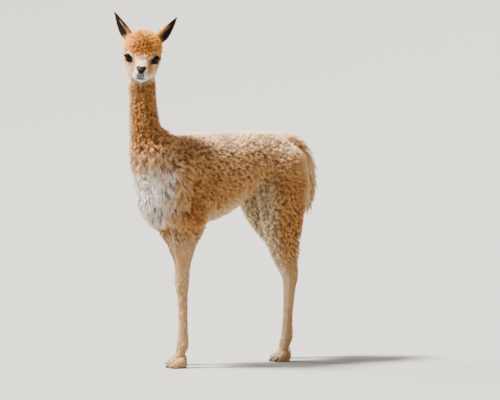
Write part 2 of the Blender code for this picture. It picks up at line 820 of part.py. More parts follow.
def body_clumps(body, rng):
    out = TORSO_COAT * CORE_SHARE
    fields = (
        (TORSO_CLUMP, on_torso, (0, 0.8, -0.6), out),
        (THIGH_CLUMP, on_thigh, (0, 0.3, -1.0), out * 0.65),
        (NECK_CLUMP, on_neck, (0, 0.0, -1.0), NECK_COAT * CORE_SHARE),
    )
    return clumps(body, fields, rng)


def crown_clumps(head, rng):
    lie = head_matrix().to_3x3().inverted() @ Vector((0, 0, -1))
    return clumps(head, ((CROWN_CLUMP, on_crown, lie, CROWN_COAT * CORE_SHARE),), rng)


def locks(body, tail, rng):
    """The long hair of the bib and the tail, each lock rooted in what it grows from."""
    made = []
    for at, normal in spots(body, BIB_SPACING, in_bib, rng):
        made.append(lock(at, normal, (0, 0, -1), BIB_LOCK, rng, 1.0, BIB_END))
    for at, normal in spots(tail, TAIL_SPACING, on_tail, rng):
        made.append(lock(at, normal, (0, 0.1, -1), TAIL_LOCK, rng, 0.7, TAIL_END))
    return made


def loose_pieces(obj):
    """The closed surfaces of a mesh, each as its own mesh with its box and its volume."""
    whole = bmesh.new()
    whole.from_mesh(obj.data)
    bmesh.ops.triangulate(whole, faces=whole.faces)
    left = set(whole.verts)
    made = []
    while left:
        reached = {left.pop()}
        front = list(reached)
        while front:
            for edge in front.pop().link_edges:
                for vertex in edge.verts:
                    if vertex not in reached:
                        reached.add(vertex)
                        front.append(vertex)
        left -= reached
        order = {v: i for i, v in enumerate(sorted(reached, key=lambda v: v.index))}
        faces = [[order[v] for v in face.verts] for face in whole.faces if face.verts[0] in order]
        points = np.array([v.co for v in order])
        corners = points[np.array(faces)]
        volume = np.einsum("ij,ij->i", corners[:, 0], np.cross(corners[:, 1], corners[:, 2])).sum() / 6
        made.append((volume, points, faces))
    whole.free()
    return made


def piece_at(name, pieces, place):
    """The largest closed piece whose box holds the place, as the node of that name."""
    place = np.array(place)
    held = [
        piece for piece in pieces if (piece[1].min(0) < place).all() and (place < piece[1].max(0)).all()
    ]
    _, points, faces = max(held, key=lambda piece: piece[0])
    return mesh_object(name, points, faces)


def cuts():
    """Thin slabs where the animal is parted, and the block that flattens its soles."""
    made = [thin_cut("neck_cut", *NECK_CUT), thin_cut("head_cut", *HEAD_CUT)]
    made.append(thin_cut("tail_cut", *TAIL_CUT))
    half = GAP / 2
    for side in (1, -1):
        inner, outer = sorted((side * 0.0002, side * 0.13))
        fore = (inner, -0.262, FORE_CUT - half), (outer, -0.050, FORE_CUT + half)
        hind = (inner, 0.095, HIND_CUT - half), (outer, 0.345, HIND_CUT + half)
        made.append(box("fore_cut", *fore))
        made.append(box("hind_cut", *hind))
    made.append(box("groin_cut", (-half, 0.05, 0.30), (half, 0.345, HIND_CUT + half)))
    made.append(box("floor", (-0.5, -0.6, -0.1), (0.5, 0.6, 0.0)))
    return made


def clear_scene():
    for obj in list(bpy.data.objects):
        bpy.data.objects.remove(obj)


def coloured(obj, colour, roughness):
    obj.data.materials.clear()
    obj.data.materials.append(material(obj.name, colour, roughness))
    obj.data.shade_smooth()
    obj.data.set_sharp_from_angle(angle=math.radians(40))


def main():
    clear_scene()
    rng = np.random.default_rng(SEED)
    body = melted(joined("body", body_form(CORE_SHARE)), BODY_VOXEL, 10, CORE_FACES)
    head = melted(joined("head_core", head_form(CORE_SHARE)), HEAD_VOXEL, 6, CORE_FACES)
    tail = melted(joined("tail_core", tail_form(CORE_SHARE)), HEAD_VOXEL, 2, TAIL_FACES)
    hair = locks(body, tail, rng)
    body = melted(joined("body", [body, *body_clumps(body, rng)]), COAT_VOXEL, 1, BODY_FACES)
    head = melted(joined("head_coat", [head, *crown_clumps(head, rng)]), HEAD_VOXEL, 1, HEAD_FACES)

    tree = surface_tree(head)
    eyes, ears, lids = [], [], []
    cutters = grooves(tree)
    for side in (1, -1):
        eye, socket, lid, opening = eye_parts(side)
        eyes.append(eye)
        lids.append(lid)
        cutters += [socket, opening]
        ears.append(ear(side))
    cutters += [grown(form, 1.5 * GAP) for form in ears]
    to_head([head, *lids, *eyes, *ears, *cutters])

    toe_nails, seats = nails()
    boolean(body, "UNION", [head, tail, *lids, *feet(), *hair], "MANIFOLD")
    boolean(body, "DIFFERENCE", cutters + seats + cuts(), "MANIFOLD")

    places = {"torso": (0, 0, 0.6), "neck": (0, -0.295, 0.85), "head": HEAD_AT}
    places["tail"] = (0, TAIL[4][0], TAIL[4][1])
    for name, side, stations in legs():
        places[name] = stations[-5][:3]
    loose = loose_pieces(body)
    bpy.data.objects.remove(body)
    nodes = [piece_at(name, loose, place) for name, place in places.items()]
    for obj in nodes + eyes + ears + toe_nails:
        obj.data.transform(Matrix.Translation((-MIDDLE[0], -MIDDLE[1], 0)))
        colour, roughness = LOOKS[obj.name.split("_")[0]]
        coloured(obj, colour, roughness)


if __name__ == "__main__":
    main()
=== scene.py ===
"""Looks of a young vicuna: one skin under a coat of solid tufts, set up to match the photo."""

import math

import bmesh
import bpy
import numpy as np
from mathutils import Matrix, Vector
from mathutils.bvhtree import BVHTree
from mathutils.kdtree import KDTree


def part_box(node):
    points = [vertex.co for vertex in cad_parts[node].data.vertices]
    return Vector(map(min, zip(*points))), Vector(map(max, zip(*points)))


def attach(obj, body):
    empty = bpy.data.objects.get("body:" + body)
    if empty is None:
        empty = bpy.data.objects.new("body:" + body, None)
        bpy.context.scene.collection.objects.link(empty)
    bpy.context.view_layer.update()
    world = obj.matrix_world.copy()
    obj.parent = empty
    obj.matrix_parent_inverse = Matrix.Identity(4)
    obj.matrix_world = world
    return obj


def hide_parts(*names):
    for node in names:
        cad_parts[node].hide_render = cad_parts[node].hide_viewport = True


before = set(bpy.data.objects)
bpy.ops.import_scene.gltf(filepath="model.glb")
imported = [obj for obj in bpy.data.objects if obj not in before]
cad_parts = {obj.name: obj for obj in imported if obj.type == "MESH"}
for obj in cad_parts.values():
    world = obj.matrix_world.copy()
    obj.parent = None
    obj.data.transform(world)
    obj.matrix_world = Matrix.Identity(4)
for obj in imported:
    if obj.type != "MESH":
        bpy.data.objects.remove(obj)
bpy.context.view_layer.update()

# Driving dimensions, in metres, as in the solids' source.
WITHERS = 0.750
TRUNK = 0.660
# The eyeball's play in its socket, points round a section, and rows in each span of a loft.
GAP = 0.0003
SIDES, STEPS = 28, 4
# Where neck, head and tail begin: a point of the cut, and the way that it faces.
NECK_CUT = (0, -0.285, 0.728), (0, -0.6, 0.8)
HEAD_CUT = (0.005, -0.315, 0.936), (0.02, -0.05, 1.0)
TAIL_CUT = (0, 0.334, 0.702), (0, 0.85, -0.53)
# Depth of the coat inside the outline of each part, and the share of it at which the skin lies.
TORSO_COAT = 0.034
NECK_COAT = 0.018
LEG_COAT = 0.006
CROWN_COAT = 0.024
FACE_COAT = 0.003
TAIL_COAT = 0.024
SKIN_SHARE = 0.5

# The trunk from breast to buttock: share of the length, top and bottom height as shares of the
# withers' height, and half width.
TORSO = (
    (0.012, 0.905, 0.840, 0.028),
    (0.045, 0.962, 0.765, 0.056),
    (0.100, 0.996, 0.670, 0.083),
    (0.180, 1.010, 0.620, 0.098),
    (0.300, 1.012, 0.606, 0.105),
    (0.440, 1.013, 0.630, 0.111),
    (0.580, 1.015, 0.672, 0.112),
    (0.705, 1.018, 0.720, 0.107),
    (0.820, 1.013, 0.737, 0.100),
    (0.910, 0.988, 0.747, 0.088),
    (0.975, 0.937, 0.775, 0.060),
    (1.000, 0.885, 0.815, 0.030),
)
# How square the trunk's section is: above, below at the chest, and below at the flank's fold.
TORSO_ROUND, FLANK_FROM, FLANK_TO = (2.3, 2.2, 1.2), 0.40, 0.72
BREAST_AT, BREAST = (0, -0.220, 0.590), (0.080, 0.085, 0.130)
SHOULDER_AT, SHOULDER, SHOULDER_TILT = (0.058, -0.165, 0.590), (0.050, 0.085, 0.140), -14

# The neck from inside the breast to inside the head: y, z, half width across, half depth.
NECK = (
    (-0.205, 0.640, 0.082, 0.096),
    (-0.256, 0.712, 0.070, 0.078),
    (-0.283, 0.762, 0.056, 0.058),
    (-0.291, 0.800, 0.0505, 0.0510),
    (-0.296, 0.850, 0.0465, 0.0472),
    (-0.299, 0.905, 0.0452, 0.0462),
    (-0.299, 0.960, 0.0448, 0.0460),
    (-0.297, 1.010, 0.0435, 0.0445),
)

# Each leg from inside the trunk down to the pastern: x, y, z, half width, half depth.
FORELEG = (
    (0.056, -0.146, 0.560, 0.036, 0.060),
    (0.058, -0.155, 0.500, 0.038, 0.056),
    (0.056, -0.162, 0.450, 0.034, 0.047),
    (0.052, -0.167, 0.400, 0.029, 0.040),
    (0.047, -0.171, 0.330, 0.0225, 0.0265),
    (0.044, -0.174, 0.268, 0.0240, 0.0245),
    (0.043, -0.171, 0.236, 0.0190, 0.0195),
    (0.043, -0.169, 0.160, 0.0165, 0.0175),
    (0.043, -0.169, 0.104, 0.0170, 0.0185),
    (0.043, -0.170, 0.080, 0.0205, 0.0215),
    (0.043, -0.178, 0.050, 0.0180, 0.0190),
    (0.043, -0.184, 0.022, 0.0170, 0.0180),
)
HINDLEG = (
    (0.050, 0.212, 0.690, 0.048, 0.084),
    (0.056, 0.214, 0.620, 0.053, 0.088),
    (0.060, 0.216, 0.540, 0.049, 0.081),
    (0.062, 0.220, 0.470, 0.043, 0.073),
    (0.0605, 0.227, 0.410, 0.035, 0.056),
    (0.057, 0.236, 0.352, 0.029, 0.043),
    (0.054, 0.248, 0.310, 0.0245, 0.0350),
    (0.052, 0.258, 0.280, 0.0225, 0.0315),
    (0.050, 0.257, 0.245, 0.0195, 0.0240),
    (0.049, 0.251, 0.170, 0.0170, 0.0190),
    (0.048, 0.247, 0.106, 0.0170, 0.0190),
    (0.048, 0.246, 0.080, 0.0205, 0.0220),
    (0.048, 0.236, 0.050, 0.0185, 0.0195),
    (0.048, 0.230, 0.022, 0.0175, 0.0185),
)
# How much further back the right leg of each pair stands than the left, and the heights between
# which that offset grows from nothing to all of it.
RIGHT_FORE_BACK, FORE_SWING = 0.060, (0.560, 0.320)
RIGHT_HIND_BACK, HIND_SWING = 0.075, (0.580, 0.400)

# A toe from heel to tip: distance forward of the pastern, height, half width, half height.
TOE = (
    (-0.017, 0.0140, 0.0080, 0.0130),
    (-0.003, 0.0175, 0.0112, 0.0185),
    (0.013, 0.0140, 0.0118, 0.0155),
    (0.027, 0.0090, 0.0104, 0.0105),
    (0.036, 0.0060, 0.0070, 0.0065),
)
NAIL = (
    (0.019, 0.0135, 0.0052, 0.0045),
    (0.029, 0.0120, 0.0070, 0.0060),
    (0.037, 0.0085, 0.0056, 0.0055),
    (0.043, 0.0052, 0.0024, 0.0034),
)
TOE_SPREAD, TOE_SPLAY = 0.0118, 5
HEEL_BACK, HEEL_HIGH, HEEL = 0.004, 0.022, (0.0185, 0.0200, 0.0200)

# The tail hangs from the rump: y, z, half width, half depth.
TAIL = (
    (0.235, 0.715, 0.040, 0.034),
    (0.285, 0.718, 0.038, 0.034),
    (0.320, 0.705, 0.036, 0.031),
    (0.347, 0.676, 0.031, 0.026),
    (0.363, 0.638, 0.030, 0.023),
    (0.367, 0.596, 0.030, 0.023),
    (0.365, 0.552, 0.026, 0.021),
    (0.361, 0.522, 0.016, 0.013),
)

# The head in its own frame: origin between the eyes, nose along -y, left side +x.
HEAD_AT = (0.038, -0.325, 1.015)
HEAD_YAW, HEAD_PITCH, HEAD_ROLL = 54, 14, 5
# Forward distance, top, bottom and half width of the head's sections, and how square they are.
HEAD = (
    (-0.088, 0.020, -0.030, 0.022),
    (-0.076, 0.044, -0.056, 0.039),
    (-0.050, 0.060, -0.078, 0.050),
    (-0.018, 0.063, -0.082, 0.052),
    (0.012, 0.054, -0.078, 0.0485),
    (0.036, 0.033, -0.072, 0.0390),
    (0.060, 0.016, -0.065, 0.0320),
    (0.084, 0.003, -0.060, 0.0255),
    (0.102, -0.006, -0.056, 0.0215),
    (0.112, -0.014, -0.049, 0.0165),
    (0.117, -0.022, -0.040, 0.0085),
)
HEAD_ROUND = (2.2, 2.2)
CROWN_AT, CROWN = (0, 0.028, 0.022), (0.0665, 0.063, 0.062)
NOSE_AT, NOSE = (0, -0.105, -0.0165), (0.0160, 0.0125, 0.0105)
CHIN_AT, CHIN = (0, -0.093, -0.0490), (0.0140, 0.018, 0.0105)
CHEEK_AT, CHEEK = (0.026, 0.010, -0.036), (0.023, 0.045, 0.038)
ORBIT_AT, ORBIT = (0.0330, -0.014, 0.003), (0.0215, 0.031, 0.0225)
LIP_AT, LIP = (0.0098, -0.1010, -0.0315), (0.0135, 0.0165, 0.0135)

# Eyes and lids: the eye's centre and radius, the lids' thickness, the way that the eye looks, and
# the half length and half height of the opening between the lids, with its slope.
EYE_AT, EYE_R = (0.0365, -0.022, 0.000), 0.0165
LID = 0.0030
EYE_LOOKS = (0.72, -0.69, 0.06)
EYE_OPENING, EYE_SLOPE = (0.0150, 0.0104), 18

# The mouth line, the split of the upper lip and the nostrils are cut this deep.
MOUTH_FROM, MOUTH_HEIGHTS, MOUTH_ANGLE = (0, -0.072), (-0.0445, -0.0405), 100
GROOVE = 0.0021
SPLIT = (-0.0430, -0.0255)
NOSTRIL_FROM, NOSTRIL = (0.0035, -0.097, -0.0170), (0.0062, 0.0024, 0.0048)
NOSTRIL_LOOKS, NOSTRIL_LEAN = (0.55, -0.83, 0.10), 38

# Each ear from its sunk root to its tip: share of its length, half width, depth of its cup, and
# how far round the back its wall reaches, in degrees.
EAR = (
    (-0.14, 0.0120, 0.0110, 120),
    (0.00, 0.0165, 0.0145, 118),
    (0.14, 0.0188, 0.0155, 114),
    (0.32, 0.0172, 0.0140, 108),
    (0.52, 0.0132, 0.0105, 102),
    (0.72, 0.0088, 0.0065, 95),
    (0.88, 0.0045, 0.0032, 85),
    (1.00, 0.0012, 0.0008, 75),
)
EAR_ROOT, EAR_TIP = (0.0505, 0.034, 0.053), (0.1010, 0.056, 0.126)
EAR_OPENS, EAR_BOW, EAR_THICK = (0.55, -0.80, 0.10), 0.003, 0.0028

# How finely each skin is meshed, how far its joins are smoothed, the middle of the hip's join, how
# far over the floor the lowest point stays, and the faces of the coarse copy that is unwrapped.
BODY_VOXEL, FACE_VOXEL, FOOT_VOXEL = ((0.0045, 0.0012, 0.0018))
TAIL_VOXEL, EAR_VOXEL = 0.0035, 0.0011
SOFTEN_BODY, SOFTEN_HEAD, SOFTEN_HIP = 0.0157, 0.0061, 0.030
HIP_AT = (0.21, 0.67)
SOLE = 0.0003
UNWRAP_FACES = 3000


def linked(name, data):
    """A new object in the scene that holds the data."""
    made = bpy.data.objects.new(name, data)
    bpy.context.scene.collection.objects.link(made)
    return made


def mesh_object(name, points, faces):
    mesh = bpy.data.meshes.new(name)
    mesh.from_pydata([tuple(p) for p in points], [], faces)
    mesh.update()
    return linked(name, mesh)


def edited_object(name, made):
    """A new object from a mesh that was being edited."""
    mesh = bpy.data.meshes.new(name)
    made.to_mesh(mesh)
    made.free()
    return linked(name, mesh)


def triangulated(obj, outward=False):
    """Splits the mesh's faces into triangles, and turns them outward where that is asked."""
    made = bmesh.new()
    made.from_mesh(obj.data)
    bmesh.ops.triangulate(made, faces=made.faces)
    if outward:
        bmesh.ops.recalc_face_normals(made, faces=made.faces)
    made.to_mesh(obj.data)
    made.free()


def catmull_rom(rows, steps=STEPS):
    """The rows of sizes with steps rows for each span, on a smooth curve through them all."""
    rows = np.array(rows, float)
    ends = np.vstack([2 * rows[0] - rows[1], rows, 2 * rows[-1] - rows[-2]])
    made = []
    for i in range(1, len(rows)):
        before, start, end, after = ends[i - 1 : i + 3]
        for t in np.arange(steps) / steps:
            made.append(
                start
                + 0.5 * t * (end - before)
                + 0.5 * t * t * (2 * before - 5 * start + 4 * end - after)
                + 0.5 * t**3 * (3 * start - before - 3 * end + after)
            )
    made.append(rows[-1])
    return np.array(made)


def loft(name, rings):
    """A closed tube through rings of points, each with the same number of points."""
    sides = len(rings[0])
    points = [p for ring in rings for p in ring]
    faces = [tuple(range(sides))[::-1]]
    for r in range(len(rings) - 1):
        for s in range(sides):
            t = (s + 1) % sides
            faces.append((r * sides + s, r * sides + t, (r + 1) * sides + t, (r + 1) * sides + s))
    faces.append(tuple(range(len(points) - sides, len(points))))
    made = mesh_object(name, points, faces)
    triangulated(made, outward=True)
    return made


def ring(centre, across, along, half_across, half_along, sides=SIDES, powers=(2.0, 2.0)):
    """A rounded section, with one power above and one below; over 2 is squarer, under 2 a keel."""
    made = []
    for angle in np.linspace(0, 2 * math.pi, sides, endpoint=False):
        c, s = math.cos(angle), math.sin(angle)
        power = powers[0] if s > 0 else powers[1]
        c = math.copysign(abs(c) ** (2 / power), c)
        s = math.copysign(abs(s) ** (2 / power), s)
        made.append(centre + across * c * half_across + along * s * half_along)
    return made


def upright(y, middle, half_width, half_height, sides=SIDES, powers=(2.0, 2.0)):
    """A section that stands across the y axis."""
    centre, across, along = Vector((0, y, middle)), Vector((1, 0, 0)), Vector((0, 0, 1))
    return ring(centre, across, along, half_width, half_height, sides, powers)


def tube(name, stations, inset=0.0, twist=(0, 0), sides=SIDES, steps=STEPS):
    """A limb: stations of x, y, z, half width and half depth, its sections square to its line.

    twist is the turn about the line, in degrees, at the first and the last station.
    """
    rows = catmull_rom(stations, steps)
    lines = np.gradient(rows[:, :3], axis=0)
    rings = []
    for i, (row, line) in enumerate(zip(rows, lines)):
        line = Vector(line).normalized()
        across = (Vector((1, 0, 0)) - line * line.x).normalized()
        share = i / (len(rows) - 1)
        turn = math.radians(twist[0] + (twist[1] - twist[0]) * share)
        across = Matrix.Rotation(turn, 3, Vector((0, 0, 1))) @ across
        along = line.cross(across).normalized()
        rings.append(ring(Vector(row[:3]), across, along, row[3] - inset, row[4] - inset, sides))
    return loft(name, rings)


def ellipsoid(name, centre, radii, inset=0.0, turn=None, rings=12, sides=16):
    made = bmesh.new()
    size = Matrix.Diagonal((*[r - inset for r in radii], 1))
    place = Matrix.Translation(centre) @ (turn or Matrix.Identity(4)) @ size
    bmesh.ops.create_uvsphere(made, u_segments=sides, v_segments=rings, radius=1, matrix=place)
    return edited_object(name, made)


def baked(obj):
    """Applies the object's modifiers and matrix to its mesh."""
    bpy.context.view_layer.update()
    graph = bpy.context.evaluated_depsgraph_get()
    mesh = bpy.data.meshes.new_from_object(obj.evaluated_get(graph))
    mesh.transform(obj.matrix_world)
    obj.modifiers.clear()
    obj.data = mesh
    obj.parent = None
    obj.matrix_world = Matrix.Identity(4)
    return obj


def joined(name, objs):
    """One object that holds the meshes of several, overlapping as they are."""
    made = bmesh.new()
    for obj in objs:
        made.from_mesh(obj.data)
        bpy.data.objects.remove(obj)
    return edited_object(name, made)


def boolean(obj, operation, others):
    """One Boolean of the object with all the others, which are used up."""
    group = bpy.data.collections.new("operands")
    for other in others:
        group.objects.link(other)
    change = obj.modifiers.new("boolean", "BOOLEAN")
    change.operation = operation
    change.operand_type = "COLLECTION"
    change.collection = group
    change.solver = "MANIFOLD"
    baked(obj)
    for other in others:
        bpy.data.objects.remove(other)
    bpy.data.collections.remove(group)


def about(axis, degrees):
    """A turn about an axis, given by its letter."""
    return Matrix.Rotation(math.radians(degrees), 4, axis)


def turned_to(direction):
    """A rotation whose z axis points along the direction and whose y axis leans upward."""
    z = direction.normalized()
    x = Vector((0, 0, 1)).cross(z).normalized()
    return Matrix((x, z.cross(x), z)).transposed().to_4x4()


def surface_tree(obj):
    made = bmesh.new()
    made.from_mesh(obj.data)
    tree = BVHTree.FromBMesh(made)
    made.free()
    return tree


def ramp(values, start, end):
    """0 at the start to 1 at the end, smoothly; the end may lie below the start."""
    share = np.clip((values - start) / (end - start), 0, 1)
    return share * share * (3 - 2 * share)


def torso_rings(inset):
    rings = []
    for share, top, bottom, half_width in catmull_rom(TORSO):
        y = (share - 0.5) * (TRUNK - 2 * inset)
        high = top * WITHERS - inset
        low = bottom * WITHERS + inset
        tuck = ramp(share, FLANK_FROM, FLANK_TO)
        powers = (TORSO_ROUND[0], TORSO_ROUND[1] + (TORSO_ROUND[2] - TORSO_ROUND[1]) * tuck)
        half_width = max(half_width - inset, 0.01)
        rings.append(upright(y, (high + low) / 2, half_width, (high - low) / 2, powers=powers))
    return rings


def leg_stations(stations, side, back, swing):
    """A leg's stations on its own side; the right leg of each pair stands further back."""
    made = []
    for x, y, z, across, depth in stations:
        behind = back * ramp(z, *swing) if side < 0 else 0.0
        made.append((side * x, y + behind, z, across, depth))
    return made


# Name, side and stations of each leg.
LEGS = []
for side, side_name in ((1, "left"), (-1, "right")):
    fore = leg_stations(FORELEG, side, RIGHT_FORE_BACK, FORE_SWING)
    hind = leg_stations(HINDLEG, side, RIGHT_HIND_BACK, HIND_SWING)
    LEGS += [("foreleg_" + side_name, side, fore), ("hindleg_" + side_name, side, hind)]


def body_form():
    """Trunk, neck and legs as overlapping lofts."""
    fleece = TORSO_COAT * SKIN_SHARE
    parts = [loft("trunk", torso_rings(fleece))]
    neck = [(0, *row) for row in NECK]
    parts.append(tube("neck_form", neck, NECK_COAT * SKIN_SHARE, twist=(0, HEAD_YAW)))
    parts.append(ellipsoid("breast", BREAST_AT, BREAST, fleece))
    for side in (1, -1):
        at, tilt = mirrored(SHOULDER_AT, side), about("X", SHOULDER_TILT)
        parts.append(ellipsoid("shoulder", at, SHOULDER, fleece, tilt))
    for name, _, stations in LEGS:
        parts.append(tube(name, stations, LEG_COAT * SKIN_SHARE))
    return parts


def toe_place(stations, toe):
    """The frame of one toe: at the pastern on the floor, turned a little outward."""
    x, y = stations[-1][:2]
    return Matrix.Translation((x + TOE_SPREAD * toe, y, 0)) @ about("Z", TOE_SPLAY * toe)


def toe_rings(rows, steps, grow=0.0, sides=12):
    rings = []
    rows = catmull_rom(rows, steps)
    for i, (forward, z, half_width, half_height) in enumerate(rows):
        ends = -grow if i == 0 else grow if i == len(rows) - 1 else 0.0
        rings.append(upright(-forward - ends, z, half_width + grow, half_height + grow, sides))
    return rings


def feet():
    """Each foot's two toes and heel, melted into one."""
    made = []
    for name, _, stations in LEGS:
        toes = []
        for toe in (1, -1):
            form = loft("toe", toe_rings(TOE, 3))
            form.matrix_world = toe_place(stations, toe)
            toes.append(baked(form))
        heel = (stations[-1][0], stations[-1][1] + HEEL_BACK, HEEL_HIGH)
        toes.append(ellipsoid("heel", heel, HEEL))
        made.append(melted(joined(name + "_foot", toes), FOOT_VOXEL, 6))
    return made


def tail_form():
    rows = [(0, *row) for row in TAIL]
    return tube("tail_form", rows, TAIL_COAT * SKIN_SHARE, sides=12, steps=2)


def mirrored(at, side):
    """A place or a way on the left side, or its mirror image on the right."""
    return Vector((side * at[0], *at[1:]))


# From the head's own frame to its place on the animal.
HEAD_PLACE = about("Z", HEAD_YAW) @ about("X", HEAD_PITCH) @ about("Y", HEAD_ROLL)
HEAD_PLACE = Matrix.Translation(HEAD_AT) @ HEAD_PLACE
HEAD_TURN, HEAD_BACK = np.array(HEAD_PLACE.to_3x3()), np.array(HEAD_PLACE.inverted())


def head_form():
    """Skull, cheeks, orbits, muzzle, lips and the woolly crown, in the head's own frame."""
    face = FACE_COAT * SKIN_SHARE
    rings = []
    for forward, top, bottom, half_width in catmull_rom(HEAD):
        middle, half_height = (top + bottom) / 2, (top - bottom) / 2 - face
        rings.append(upright(-forward, middle, half_width - face, half_height, powers=HEAD_ROUND))
    parts = [loft("skull", rings)]
    parts.append(ellipsoid("crown", CROWN_AT, CROWN, CROWN_COAT * SKIN_SHARE))
    parts.append(ellipsoid("nose", NOSE_AT, NOSE, face))
    parts.append(ellipsoid("chin", CHIN_AT, CHIN, face))
    for side in (1, -1):
        parts.append(ellipsoid("cheek", mirrored(CHEEK_AT, side), CHEEK, face))
        parts.append(ellipsoid("orbit", mirrored(ORBIT_AT, side), ORBIT, face))
        parts.append(ellipsoid("lip", mirrored(LIP_AT, side), LIP, face))
    return parts


def lens(name, half_length, half_height, depth, points=7):
    """An almond outline, drawn out along z from 0 to the depth."""
    upper = [
        (half_length * math.cos(a), half_height * math.sin(a) ** 1.2)
        for a in np.linspace(0, math.pi, points)
    ]
    lower = [(-x, -y) for x, y in upper[1:-1]]
    return loft(name, [[Vector((x, y, z)) for x, y in upper + lower] for z in (0.0, depth)])


def eye_turn(side):
    """The eye's own axes: along the lids, up, and out through the pupil."""
    return turned_to(mirrored(EYE_LOOKS, side)) @ about("Z", -side * EYE_SLOPE)


def eye_forms(side):
    """The ball that the lids are made of, the eye's socket, and the opening between the lids."""
    at = mirrored(EYE_AT, side)
    opening = lens("opening", *EYE_OPENING, 0.05)
    opening.matrix_world = Matrix.Translation(at) @ eye_turn(side)
    socket = ellipsoid("socket", at, [EYE_R + GAP] * 3, rings=8, sides=12)
    lids = ellipsoid("lids", at, [EYE_R + LID] * 3, rings=8, sides=12)
    return lids, socket, baked(opening)


def grooves(tree):
    """Cutters along the mouth line and the split of the upper lip, and for the nostrils."""
    mouth = []
    for angle in np.linspace(-MOUTH_ANGLE, MOUTH_ANGLE, 13):
        turn = math.radians(angle)
        way = Vector((math.sin(turn), -math.cos(turn), 0))
        mouth.append(tree.ray_cast(Vector((*MOUTH_FROM, mouth_height(abs(angle)))), way)[0])
    split = []
    for height in np.linspace(*SPLIT, 5):
        split.append(tree.ray_cast(Vector((0, -0.09, height)), Vector((0, -1, 0)))[0])
    made = [groove_tube("mouth", mouth), groove_tube("split", split)]
    for side in (1, -1):
        way = mirrored(NOSTRIL_LOOKS, side)
        at = tree.ray_cast(mirrored(NOSTRIL_FROM, side), way)[0]
        turn = turned_to(way) @ about("Z", side * NOSTRIL_LEAN)
        made.append(ellipsoid("nostril", at, NOSTRIL, turn=turn, rings=6, sides=8))
    return made


def mouth_height(angle):
    """The height of the mouth line, which rises from the middle to the corners."""
    return MOUTH_HEIGHTS[0] + (MOUTH_HEIGHTS[1] - MOUTH_HEIGHTS[0]) * (angle / MOUTH_ANGLE) ** 2


def groove_tube(name, points, sides=5):
    """A thin round tube along the points, tapered at both ends."""
    rings = []
    for i, point in enumerate(points):
        before, after = points[max(i - 1, 0)], points[min(i + 1, len(points) - 1)]
        line = (after - before).normalized()
        across = line.orthogonal().normalized() if abs(line.z) > 0.9 else Vector((0, 0, 1))
        along = line.cross(across).normalized()
        across = along.cross(line)
        half = GROOVE * (0.45 if i in (0, len(points) - 1) else 1.0)
        rings.append(ring(point, across, along, half, half, sides))
    return loft(name, rings)


def ear(side):
    """A spear-shaped cup, open to the front and the side."""
    root, tip = mirrored(EAR_ROOT, side), mirrored(EAR_TIP, side)
    line = (tip - root).normalized()
    opens = mirrored(EAR_OPENS, side)
    opens = (opens - line * opens.dot(line)).normalized()
    across = line.cross(opens)
    rings = []
    for share, half, cup, reach in catmull_rom(EAR, 2):
        bow = EAR_BOW * 4 * share * (1 - share) * side
        centre = root.lerp(tip, share) + Vector((bow, 0, 0))
        outer = [(angle, 0.0) for angle in np.linspace(-reach, reach, 5)]
        thick = min(EAR_THICK, 0.45 * cup)
        inner = [(angle, thick) for angle in np.linspace(reach - 8, 8 - reach, 3)]
        wall = []
        for angle, inset in outer + inner:
            angle = np.radians(angle)
            wide = (half - inset) * math.sin(angle)
            wall.append(centre + across * wide - opens * (cup - inset) * math.cos(angle))
        rings.append(wall)
    return loft("ear", rings)


def to_head(obj):
    """Moves a piece from the head's own frame to its place on the animal."""
    obj.matrix_world = HEAD_PLACE @ obj.matrix_world
    return baked(obj)


def above_cut(cut, points):
    facing = np.array(cut[1], float)
    return (points - np.array(cut[0])) @ (facing / np.linalg.norm(facing))


def melted(obj, voxel, passes):
    """Overlapping forms made one smooth skin."""
    remesh = obj.modifiers.new("remesh", "REMESH")
    remesh.mode = "VOXEL"
    remesh.voxel_size = voxel
    smooth = obj.modifiers.new("smooth", "SMOOTH")
    smooth.factor = 0.5
    smooth.iterations = passes
    return baked(obj)


def passes_for(voxel, reach):
    return round(2 * (reach / voxel) ** 2)


def make_skin():
    """Body, head, tail and feet as one closed mesh, with lids, nostrils and mouth in the face."""
    body = joined("skin", body_form())
    body = melted(body, BODY_VOXEL, passes_for(BODY_VOXEL, SOFTEN_BODY))
    places, _, _ = arrays(body)
    hip = ramp(np.abs(places[:, 1] - HIP_AT[0]), 0.16, 0.10)
    hip = hip * ramp(np.abs(places[:, 2] - HIP_AT[1]), 0.10, 0.06)
    group = body.vertex_groups.new(name="hip")
    for i in np.flatnonzero(hip > 0.02):
        group.add([int(i)], float(hip[i]), "REPLACE")
    soften = body.modifiers.new("soften", "SMOOTH")
    soften.vertex_group = "hip"
    soften.iterations = passes_for(BODY_VOXEL, SOFTEN_HIP)
    baked(body)
    tail = melted(joined("tail_skin", [tail_form()]), TAIL_VOXEL, 4)
    head, coarse = joined("head_skin", head_form()), FACE_VOXEL * 1.4
    head = melted(head, coarse, passes_for(coarse, SOFTEN_HEAD))
    holes, lids = grooves(surface_tree(head)), []
    for side in (1, -1):
        lid, *cutters = eye_forms(side)
        lids.append(lid)
        holes += cutters
    boolean(head, "UNION", lids)
    boolean(head, "DIFFERENCE", holes)
    head = to_head(melted(head, FACE_VOXEL, 2))
    boolean(body, "UNION", [head, tail, *feet()])
    places, outs, _ = arrays(body)
    places = places + outs * relief(places, outs)[:, None]
    places[:, 2] = np.maximum(places[:, 2], SOLE)
    body.data.vertices.foreach_set("co", places.ravel())
    body.data.update()
    return body


